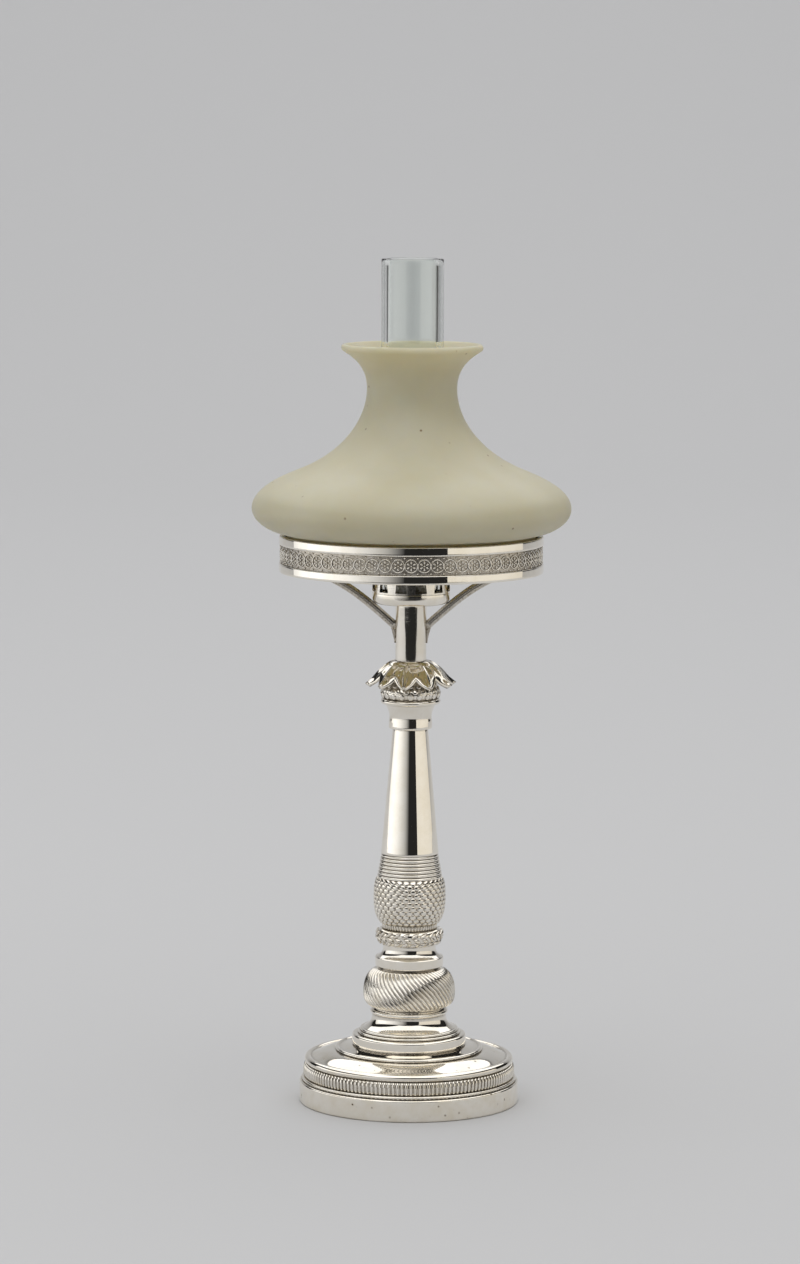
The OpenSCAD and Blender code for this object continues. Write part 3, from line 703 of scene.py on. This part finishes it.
def leafSkin(length, width, rise, along=7):
    # a small pointed leaf lying in the YZ plane, its tip up +Z, with a raised midrib
    rings, marks = [], []
    for i in range(along):
        t = i / (along - 1)
        half = width / 2 * max(0.08, math.sin(math.pi * min(1, t * 0.92 + 0.08)) ** 0.8)
        z = (t - 0.5) * length
        lift = rise * (0.5 + 0.5 * math.sin(math.pi * t))
        rings.append([(-0.1, -half, z), (lift * 0.55, -half * 0.8, z), (lift * 0.75, -half * 0.3, z),
                      (lift, 0, z),
                      (lift * 0.75, half * 0.3, z), (lift * 0.55, half * 0.8, z), (-0.1, half, z)])
        marks.append([0.8, 0.2, 0.1, 0.0, 0.1, 0.2, 0.8])
    return skin(rings, marks)


def turnedSkin(form, degrees):
    # a copy's skin turned in its own plane
    points, faces, values = form
    matrix = Matrix.Rotation(math.radians(degrees), 3, "X")
    return [tuple(matrix @ Vector(p)) for p in points], faces, values


def rowsOn(path, count, sink, reference):
    # evenly spaced rows along an open outline: radius, level, tilt of the face, size
    lengths = [0.0]
    for p, q in zip(path, path[1:]):
        lengths.append(lengths[-1] + math.dist(p, q))
    rows = []
    for i in range(count):
        at = lengths[-1] * (i + 0.5) / count
        k = next(j for j in range(1, len(path)) if lengths[j] >= at)
        t = (at - lengths[k - 1]) / (lengths[k] - lengths[k - 1])
        p, q = path[k - 1], path[k]
        r, z = p[0] + (q[0] - p[0]) * t, p[1] + (q[1] - p[1]) * t
        lean = math.atan2(p[0] - q[0], q[1] - p[1])
        rows.append((r - sink, z, math.degrees(lean), r / reference))
    return rows


def laurelRing():
    sizes = {"leaves": 22, "relief": 0.3, "length": 1.25, "width": 0.62, "slant": 58}
    low, top, r = extent("laurel_ring")
    spoolR, upperR = 3.9, 4.2
    relief = sizes["relief"]
    face = curve((spoolR, low), (r - 0.1, low + 0.2), (r + 0.5, top - 0.5), (upperR, top), 20)
    core = [(x - relief * math.sin(math.pi * i / 20), z) for i, (x, z) in enumerate(face)]
    turned("laurelCore", threaded(core), chasedSilver, "laurel_ring", edge=0.04, longest=0.2)
    leaf = leafSkin(sizes["length"], sizes["width"], relief)
    rows = rowsOn(core[2:-2], 3, 0.02, 4.7)
    for name, way, start, chosen in (("laurelLeavesLow", -1, 0, rows[:1]),
                                     ("laurelLeavesMiddle", 1, 5, rows[1:2]),
                                     ("laurelLeavesHigh", -1, 2, rows[2:])):
        copies(name, turnedSkin(leaf, way * sizes["slant"]), chosen, sizes["leaves"], chasedSilver,
               start=start, unevenness=0.06)


def milledRing():
    sizes = {"ribs": 56, "ribDepth": 0.17, "ribWidth": 0.36}
    low, top, r = extent("milled_ring")
    core = r - sizes["ribDepth"]
    face = curve((core - 0.12, low + 0.01), (core, low + 0.15), (core, top - 0.15),
                 (core - 0.12, top - 0.01), 8)
    turned("milledCore", threaded(face), chasedSilver, "milled_ring", longest=0.2)
    rib = bar(face, sizes["ribWidth"], sizes["ribDepth"])
    copies("milledRibs", rib, [(0, 0, 0, 1)], sizes["ribs"], chasedSilver)


def lozenge(width, height, rise):
    # one scale: a low pillow with pointed sides
    shape = []
    for k in range(12):
        t = 2 * math.pi * k / 12
        shape.append((width / 2 * math.copysign(abs(math.cos(t)) ** 1.1, math.cos(t)),
                      height / 2 * math.copysign(abs(math.sin(t)) ** 1.25, math.sin(t))))
    rings, marks = [], []
    for share, lift, mark in ((1.0, -0.12, 1.0), (0.96, 0.25 * rise, 0.8), (0.8, 0.75 * rise, 0.2),
                              (0.45, rise, 0.0),
                              (0.12, 1.08 * rise, 0.0)):
        rings.append([(lift, y * share, z * share) for y, z in shape])
        marks.append([mark] * 12)
    return skin(rings, marks)


def scaleKnop():
    sizes = {"footR": 4.25, "topR": 4.7, "rows": 11, "columns": 30, "rise": 0.2}
    low, top, r = extent("scale_knop")
    middle = (r, (low + top) / 2)
    foot, head = sizes["footR"], sizes["topR"]
    lower = curve((foot, low), (foot + 0.6, low + 0.7), plus(middle, 0, -1.4), middle, 16)
    upper = curve(middle, plus(middle, 0, 1.8), (head + 0.4, top - 0.4), (head, top), 16)
    face = lower + upper[1:]
    sink = sizes["rise"] * 1.1
    core = [(x - sink, z) for x, z in face]
    turned("scaleKnopCore", threaded(core), chasedSilver, "scale_knop", longest=0.2)
    pitch = 2 * math.pi * r / sizes["columns"]
    scale = lozenge(pitch * 1.0, (top - low) / sizes["rows"] * 1.75, sizes["rise"])
    rows = rowsOn(core, sizes["rows"], 0.0, r - sink)
    copies("scaleKnopScales", scale, rows, sizes["columns"], chasedSilver, stagger=0.5, unevenness=0.04,
           seed=3)


def reededCollar():
    sizes = {"reeds": 7, "topR": 4.1}
    low, top, r = extent("reeded_collar")
    pitch = (top - low) / sizes["reeds"]
    outline = []
    for i in range(sizes["reeds"]):
        out = r + (sizes["topR"] - r) * i / (sizes["reeds"] - 1)
        outline += arc((out - pitch / 2, low + (i + 0.5) * pitch), pitch / 2, -80, 80, 10)
    turned("reededCollar", threaded(outline), turnedSilver, "reeded_collar", edge=0.02, dent=0.01,
           recessReach=0.14)


def columnShaft():
    sizes = {"topR": 2.5, "wall": 0.6}
    low, top, r = extent("column_shaft")
    end, wall = sizes["topR"], sizes["wall"]
    outline = [(r - wall, low), (r, low), (end, top), (end - wall, top)]
    turned("columnShaft", outline, turnedSilver, "column_shaft", edge=0.08, dent=0.014, dentSpacing=5)


def capitalCollar():
    sizes = {"footR": 3.1, "waist": 2.95, "edge": 0.15}
    low, top, r = extent("capital_collar")
    foot, waist, edge = sizes["footR"], sizes["waist"], sizes["edge"]
    outline = [(foot - edge, low), (foot, low + edge)]
    outline += curve((foot - 0.05, low + 1.2), (waist, low + 1.7), (waist, top - 1.2), (r, top), 16)
    turned("capitalCollar", threaded(outline), turnedSilver, "capital_collar", edge=0.06, dent=0.012)


swirlKnop()
collarDisc()
spoolNeck()
laurelRing()
milledRing()
scaleKnop()
reededCollar()
columnShaft()
capitalCollar()
print("stem made")


# The calyx and the upper column

def calyxBulb():
    sizes = {"bead": 0.8, "leaves": 20, "relief": 0.16}
    low, top, r = extent("calyx_bulb")
    half = sizes["bead"] / 2
    beadR = 4.25
    foot = low + sizes["bead"]
    relief = sizes["relief"]
    outline = arc((beadR - half, low + half), half, -90, 70)
    bulb = curve((beadR - half, foot + 0.1), (r + 0.1, foot + 0.3), (r + 0.1, foot + 1.3), (r - 0.9, top), 18)
    inner = [(x - relief * min(1, i / 3), z) for i, (x, z) in enumerate(bulb)]
    turned("calyxBulbCore", threaded(outline + inner), chasedSilver, "calyx_bulb", edge=0.04, longest=0.2,
           recessReach=0.25)
    rows = rowsOn(inner[2:], 3, 0.0, 4.5)
    leaf = leafSkin(1.05, 1.15, relief)
    copies("calyxBulbLeaves", leaf, rows, sizes["leaves"], chasedSilver, stagger=0.5, unevenness=0.05,
           seed=5)


def calyxLeaf(root, tip, thickness, width):
    # one leaf that falls outwards from the column, folded along its midrib, with its tip curled up
    sizes = {"along": 16, "fold": 0.35, "curl": 0.35}
    back = curve(root, plus(root, 1.4, -0.1), plus(tip, -1.1, 1.7), tip, sizes["along"])
    normals = beside(back, 1.0)
    rings, marks = [], []
    for i, (x, z) in enumerate(back):
        t = i / sizes["along"]
        half = width / 2 * max(0.1, min(1.0, 0.42 + 1.1 * t) * min(1.0, ((1.0 - t) / 0.38)) ** 0.6)
        out = Vector((normals[i][0] - x, normals[i][1] - z))
        lift = sizes["curl"] * max(0.0, t - 0.8) / 0.2
        ring, mark = [], []
        for side in (-1, 1):
            profile = (-1.0, -0.72, -0.4, -0.14, 0.0, 0.14, 0.4, 0.72, 1.0)
            for s in (profile if side == -1 else profile[::-1]):
                ribs = 0.06 * math.cos(s * 9.0)
                sag = -sizes["fold"] * (abs(s) ** 1.3) * (0.5 + 0.5 * t) + (0.14 if s == 0 else 0.0)
                sag += ribs * (0.3 + t)
                base = sag + lift - (thickness if side == 1 else 0.0)
                ring.append((x + out.x * base, s * half, z + out.y * base))
                mark.append(max(0.0, 0.75 - 3.0 * t) if side == -1 else 0.5)
        rings.append(ring)
        marks.append(mark)
    return skin(rings, marks)


def calyxLeaves():
    sizes = {"leaves": 10, "thickness": 0.24, "width": 3.7, "drop": 3.55, "bellR": 3.6}
    _, top, r = extent("calyx_leaves")
    columnR = extent("upper_column")[2]
    root, tip = (columnR - 0.05, top - 0.12), (r - 0.12, top - sizes["drop"])
    leaf = calyxLeaf(root, tip, sizes["thickness"], sizes["width"])
    copies("calyxLeaves", leaf, [(0, 0, 0, 1)], sizes["leaves"], chasedSilver, "calyx_leaves", start=9.0)
    face = curve((columnR, top), (columnR + 0.6, top - 0.02), (sizes["bellR"] - 0.3, top - 0.4),
                 (sizes["bellR"], top - 1.1), 12)
    under = beside(face, -0.25)
    turned("calyxBell", face[::-1] + under, chasedSilver, edge=0.04, longest=0.2)


def upperColumn():
    sizes = {"wall": 0.5}
    low, top, r = extent("upper_column")
    outline = [(r - sizes["wall"], low), (r, low), (r, top), (r - sizes["wall"], top)]
    turned("upperColumn", outline, turnedSilver, "upper_column", edge=0.05, dent=0.012)


calyxBulb()
calyxLeaves()
upperColumn()
print("calyx made")


# The burner

def burnerCup():
    sizes = {"turn": 0.9, "wall": 0.5, "floor": 0.5}
    low, top, r = extent("burner_cup")
    turn, inner = sizes["turn"], r - sizes["wall"]
    outline = [(boreR, low)] + arc((r - turn, low + turn), turn, -90, 0, 12)
    outline += [(r, top), (inner, top), (inner, low + sizes["floor"]), (boreR, low + sizes["floor"])]
    turned("burnerCup", outline, chasedSilver, "burner_cup", edge=0.06, dent=0.02)


def paintNode(node, material):
    # a solid whose shape is right keeps it and gets its finish
    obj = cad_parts[node]
    obj.data.materials.clear()
    obj.data.materials.append(material)


def arms():
    sizes = {"width": 1.0, "thickness": 1.1, "drop": 2.5, "angle": 42, "pull": 6.0, "level": 7.0, "tab": 2.0,
             "buried": 0.8}  # how far the end runs on into the column
    columnR = extent("upper_column")[2]
    cupLow = extent("burner_cup")[0]
    ringLow, _, bandR = extent("ring_band")
    innerR = bandR - 0.35
    root = (columnR, cupLow - sizes["drop"])
    end = (innerR + 0.2, ringLow + sizes["thickness"] + 0.05)
    slope = math.radians(sizes["angle"])
    path = curve(root, plus(root, sizes["pull"] * math.cos(slope), sizes["pull"] * math.sin(slope)),
                 plus(end, -sizes["level"], 0), end, 30)
    path = [p for p in path if p[0] < innerR - 0.02]
    buried = plus(root, -sizes["buried"] * math.cos(slope), -sizes["buried"] * math.sin(slope))
    path = [buried] + path
    across = ((-0.5, -0.5), (-0.46, -0.12), (-0.46, 0.0), (-0.5, 0.3), (-0.36, 0.48), (-0.2, 0.34),
              (0, 0.3), (0.2, 0.34), (0.36, 0.48), (0.5, 0.3), (0.46, 0.0), (0.46, -0.12), (0.5, -0.5), (0.3, -0.62), (-0.3, -0.62))
    for name, node, turn in (("armRight", "arm_right", 0), ("armLeft", "arm_left", 180)):
        rings, marks = [], []
        for i, (x, z) in enumerate(path):
            before, after = path[max(i - 1, 0)], path[min(i + 1, len(path) - 1)]
            along = Vector((after[0] - before[0], after[1] - before[1])).normalized()
            ring = []
            for a, b in across:
                y = a * sizes["width"]
                deep = (b - 0.48) * sizes["thickness"] * 0.92
                ring.append((x - along.y * deep, y, z + along.x * deep))
            rings.append(ring)
            marks.append([0.6 if abs(a) > 0.4 else 0.15 for a, b in across])
        tab = []
        for i in range(6):
            z = root[1] - sizes["tab"] - sizes["thickness"] + (sizes["tab"] + 0.5) * i / 5
            swell = 0.15 + 0.6 * (i / 5) ** 1.5
            tab.append([(columnR - 0.15, -0.42, z), (columnR + swell * 0.6, -0.42, z),
                        (columnR + swell, -0.2, z),
                        (columnR + swell, 0.2, z), (columnR + swell * 0.6, 0.42, z),
                        (columnR - 0.15, 0.42, z)])
        form = joinedSkins([skin(rings, marks), skin(tab, [[0.8] * 6] * 6)])
        matrix = Matrix.Rotation(math.radians(turn), 3, "Z")
        mesh = newMesh(name, [matrix @ Vector(p) for p in form[0]], form[1], form[2])
        outward(mesh)
        mesh.materials.append(chasedSilver)
        obj = newObject(name, mesh)
        finished(obj, "stand", "silver", node)


burnerCup()
for node, material in (("burner_crown", chasedSilver), ("burner_tube", wireSilver), ("tie_rod", wireSilver),
                       ("tie_washer", wireSilver), ("foot_nut", wireSilver), ("burner_nut", wireSilver)):
    paintNode(node, material)
arms()
print("burner and arms made")


# The ring

def ringBand():
    sizes = {"wall": 0.35}
    low, top, r = extent("ring_band")
    outline = [(r - sizes["wall"], low), (r, low), (r, top), (r - sizes["wall"], top)]
    turned("ringBand", outline, turnedSilver, "ring_band", edge=0.06, around=256, dent=0.02, dentSpacing=6)


def ringRims():
    for name, node in (("ringTopRim", "ring_top_rim"), ("ringBottomRim", "ring_bottom_rim")):
        low, top, r = extent(node)
        bandR = extent("ring_band")[2]
        edge = 0.18
        outline = [(bandR - 0.05, low)] + arc((r - edge, low + edge), edge, -90, 0, 8)
        outline += arc((r - edge, top - edge), edge, 0, 90, 8) + [(bandR - 0.05, top)]
        turned(name, outline, turnedSilver, node, edge=0.04, longest=0.2, around=256, dent=0.025,
               dentSpacing=5)


def rosette(size, wire, petals=6):
    # a circle of wire with a small flower in it
    skins = []
    rings, marks = [], []
    for i in range(20):
        t = 2 * math.pi * i / 20
        ring = []
        for k in range(5):
            a = 2 * math.pi * k / 5
            reach = size + wire * math.cos(a)
            ring.append((wire * math.sin(a) * 0.9, reach * math.cos(t), reach * math.sin(t)))
        rings.append(ring)
        marks.append([0.0 if math.sin(2 * math.pi * k / 5) > 0.3 else 0.15 for k in range(5)])
    points, faces, values = skin(rings, marks, capped=False)
    last = len(rings) - 1
    faces += [(last * 5 + k, last * 5 + (k + 1) % 5, (k + 1) % 5, k) for k in range(5)]
    skins.append((points, faces, values))
    for i in range(petals):
        turn = Matrix.Rotation(2 * math.pi * i / petals, 3, "X")
        drop = []
        for z, half, lift in ((0.2, 0.05, 0.02), (0.34, 0.12, 0.09), (0.5, 0.16, 0.1), (0.64, 0.08, 0.04)):
            corners = ((-0.1, -half, z), (lift, -half * 0.5, z), (lift, half * 0.5, z), (-0.1, half, z))
            drop.append([tuple(turn @ (Vector(c) * size / 0.8)) for c in corners])
        skins.append(skin(drop, [[0.8, 0.1, 0.1, 0.8]] * 4))
    skins.append(ball(0.13 * size / 0.8, around=6, rows=4))
    return joinedSkins(skins)


def ringFrieze():
    sizes = {"units": 64, "wire": 0.1, "floorThickness": 0.05}
    low, top, r = extent("ring_frieze")
    bandR = extent("ring_band")[2]
    outline = [(bandR - 0.02, low), (bandR + sizes["floorThickness"], low),
               (bandR + sizes["floorThickness"], top),
               (bandR - 0.02, top)]
    obj = turned("ringFriezeFloor", outline, chasedSilver, "ring_frieze", edge=0.01, around=256)
    obj.data.attributes["recess"].data.foreach_set("value", [0.7] * len(obj.data.vertices))
    half = math.pi * r / sizes["units"]
    unit = rosette(half - 0.02, sizes["wire"])
    rows = [(r - sizes["wire"] * 0.95, (low + top) / 2, 0, 1)]
    copies("ringFriezeRosettes", unit, rows, sizes["units"], chasedSilver)
    dot = ball(0.17, 0.8, around=6, rows=4)
    rows = [(bandR + 0.1, low + 0.22, 0, 1), (bandR + 0.1, top - 0.22, 0, 1)]
    copies("ringFriezeDots", dot, rows, sizes["units"], chasedSilver, start=180 / sizes["units"])


def ringSeat():
    low, top, r = extent("ring_seat")
    inner = r - 1.6
    outline = [(inner, low), (r, low), (r, top), (inner, top)]
    turned("ringSeat", outline, turnedSilver, "ring_seat", edge=0.12, around=256, dent=0.015)


ringBand()
ringRims()
ringFrieze()
ringSeat()
print("ring made")


# The glass

def shade():
    sizes = {"wall": 1.0, "footR": 17.55, "step": 2.4, "widest": 5.9, "shoulderR": 15.85, "shoulder": 11.3,
             "neckR": 6.4, "neck": 22.8, "lipR": 10.05, "lipEdge": 0.5,
             "allowance": 0.04}  # room for the dents inside the solid's width
    low, top, r = extent("shade")
    step, foot, wall = sizes["step"], sizes["footR"], sizes["wall"]
    slope = (1, -0.41)
    height = top - low
    edgePoint, widest = (foot + 0.6, step), (r, sizes["widest"])
    shoulder, neck = (sizes["shoulderR"], sizes["shoulder"]), (sizes["neckR"], sizes["neck"])
    lipC = (sizes["lipR"] - sizes["lipEdge"], height - sizes["lipEdge"])
    lipFoot = (lipC[0] + sizes["lipEdge"] * math.cos(math.radians(-60)),
               lipC[1] + sizes["lipEdge"] * math.sin(math.radians(-60)))
    belly = curve(edgePoint, (r - 2, step + 0.35), plus(widest, 0, -1.7), widest, 18)
    bow = curve(widest, plus(widest, 0, 2.7), plus(shoulder, 2.5 * slope[0], 2.5 * slope[1]), shoulder, 18)
    flank = curve(shoulder, plus(shoulder, -5.6 * slope[0], -5.6 * slope[1]), plus(neck, 0, -4.8), neck, 28)
    flare = curve(neck, plus(neck, 0, 3.2), plus(lipFoot, -1.2, -0.8), lipFoot, 16)
    face = belly + bow[1:] + flank[1:] + flare[1:]
    inside = beside(face, wall)
    footIn = foot - wall
    lip = arc(lipC, sizes["lipEdge"], -60, 120, 10)
    outline = [(footIn, 0), (foot, 0), (foot, step - 0.3)] + face + lip[1:] + inside[:0:-1]
    outline += [(footIn, step + wall * 0.9)]
    outline = [(x - sizes["allowance"], z + low) for x, z in outline]
    turned("frostedShade", outline, shadeGlass, "shade", edge=0.2, longest=0.7, around=224, dent=0.12,
           dentSpacing=16)


def chimney():
    sizes = {"wall": 1.0}
    low, top, r = extent("chimney")
    inner = r - sizes["wall"]
    top -= 0.02  # room for the dents inside the solid's height
    outline = [(inner, low), (r, low), (r, top), (inner, top)]
    turned("clearChimney", outline, chimneyGlass, "chimney", edge=0.2, longest=0.8, around=128, dent=0.03,
           dentSpacing=9)


shade()
chimney()
print("glass made")


# The studio: floor, backdrop, light panels and camera

studio = {
    "floor": "#c5c5c6",
    "roomDark": 0.02,
    "panelR": 650, "panelTop": 240,
    "floorFront": -420, "floorBack": 1900, "coveR": 900, "wallTop": 1500, "halfWidth": 1400,
}


def plain(name, colour, roughness=0.9):
    # matt painted board
    material, tree, output, add, place = startMaterial(name)
    grain = add("ShaderNodeTexNoise", {"Vector": place, "Scale": perMm(3.0), "Detail": 2.0})
    bump = add("ShaderNodeBump", {"Height": grain, "Distance": 0.01 * mm, "Strength": 0.4})
    body = add("ShaderNodeBsdfPrincipled", {
        "Base Color": linear(colour), "Roughness": roughness, "Normal": bump})
    tree.links.new(body.outputs[0], output.inputs["Surface"])
    return material


def floorSheet():
    # floor and backdrop in one sheet, with a wide bend between them
    front, back, bend, top, half = (studio[k] for k in ("floorFront", "floorBack", "coveR", "wallTop",
                                                        "halfWidth"))
    section = [(front, 0)] + [(back - bend + bend * math.sin(t), bend - bend * math.cos(t))
                              for t in [math.pi / 2 * i / 24 for i in range(25)]] + [(back, top)]
    points = [(x, y, z) for x in (-half, half) for y, z in section]
    count = len(section)
    faces = [(i, count + i, count + i + 1, i + 1) for i in range(count - 1)]
    mesh = newMesh("floorSheet", points, faces)
    mesh.materials.append(plain("mattPaperSheet", studio["floor"]))
    mesh.shade_smooth()
    obj = newObject("floorSheet", mesh)


lights = {
    "radius": 650, "low": 2, "high": 240, "steps": 24,  # the two curved side panels
    "leftFromTo": (-122, -6), "leftGlow": (0.9, 1.25, 1.3, 1.15, 1.0, 0.75, 0.5, 0.05),
    "rightFromTo": (31, 112), "rightGlow": (0.84, 0.86, 0.84, 0.76), "rightColour": "#fffaf0",
    "topHalfWidth": 1150, "topFront": -1800, "topBack": 1850, "topHeight": 1000, "topGlow": 1.32,
}


def lightPanel(name, fromTo, glow, colour):
    # a curved diffuser beside the lamp; glow(share) is its brightness from one end to the other,
    # fromTo its angles in degrees from the camera's side, positive to the right
    points, faces, values = [], [], []
    for i in range(lights["steps"] + 1):
        share = i / lights["steps"]
        t = math.radians(fromTo[0] + (fromTo[1] - fromTo[0]) * share)
        for z in (lights["low"], lights["high"]):
            points.append((lights["radius"] * math.sin(t), -lights["radius"] * math.cos(t), z))
            values.append(glow(share))
        if i:
            a = 2 * (i - 1)
            faces.append((a, a + 2, a + 3, a + 1))
    return panelObject(name, points, faces, values, colour)


def panelObject(name, points, faces, values, colour):
    mesh = newMesh(name, points, faces, values)
    material = bpy.data.materials.new(name)
    material.use_nodes = True
    tree = material.node_tree
    tree.nodes.clear()
    add = partial(addNode, tree)
    strength = add("ShaderNodeAttribute", attribute_name="recess").outputs["Fac"]
    lit = add("ShaderNodeEmission", {"Color": linear(colour), "Strength": strength})
    output = tree.nodes.new("ShaderNodeOutputMaterial")
    tree.links.new(lit.outputs[0], output.inputs["Surface"])
    mesh.materials.append(material)
    obj = newObject(name, mesh)
    obj.visible_camera = False
    return obj


def topPanel():
    half, front, back, high, glow = (lights["top" + k] for k in ("HalfWidth", "Front", "Back", "Height", "Glow"))
    corners = [(-half, front, high), (half, front, high), (half, back, high), (-half, back, high)]
    return panelObject("topPanel", corners, [(0, 1, 2, 3)], [glow] * 4, "#ffffff")


def through(values):
    # a brightness that runs evenly through these values
    def glow(share):
        at = share * (len(values) - 1)
        k = min(int(at), len(values) - 2)
        return values[k] + (values[k + 1] - values[k]) * (at - k)
    return glow


floorSheet()
lightPanel("leftPanel", lights["leftFromTo"], through(lights["leftGlow"]), "#ffffff")
lightPanel("rightPanel", lights["rightFromTo"], through(lights["rightGlow"]), lights["rightColour"])
topPanel()

world = bpy.data.worlds.new("studioRoom")
bpy.context.scene.world = world
world.use_nodes = True
room = world.node_tree.nodes["Background"]
room.inputs["Color"].default_value = linear("#ffffff")
room.inputs["Strength"].default_value = studio["roomDark"]

camera = {"distance": 660, "height": 144, "pitch": -6.63, "turn": 0.134, "roll": 0.27, "lens": 133.8}


def placeCamera():
    data = bpy.data.cameras.new("camera")
    data.lens, data.sensor_width = camera["lens"], 36.0
    data.clip_start, data.clip_end = 0.01, 20
    obj = bpy.data.objects.new("camera", data)
    bpy.context.scene.collection.objects.link(obj)
    aim = (Matrix.Rotation(math.radians(camera["turn"]), 4, "Z")
           @ Matrix.Rotation(math.radians(90 + camera["pitch"]), 4, "X")
           @ Matrix.Rotation(math.radians(camera["roll"]), 4, "Z"))
    obj.matrix_world = Matrix.Translation((0, -camera["distance"] * mm, camera["height"] * mm)) @ aim
    bpy.context.scene.camera = obj


placeCamera()
bpy.context.scene.view_settings.view_transform = "Standard"
print("studio made")
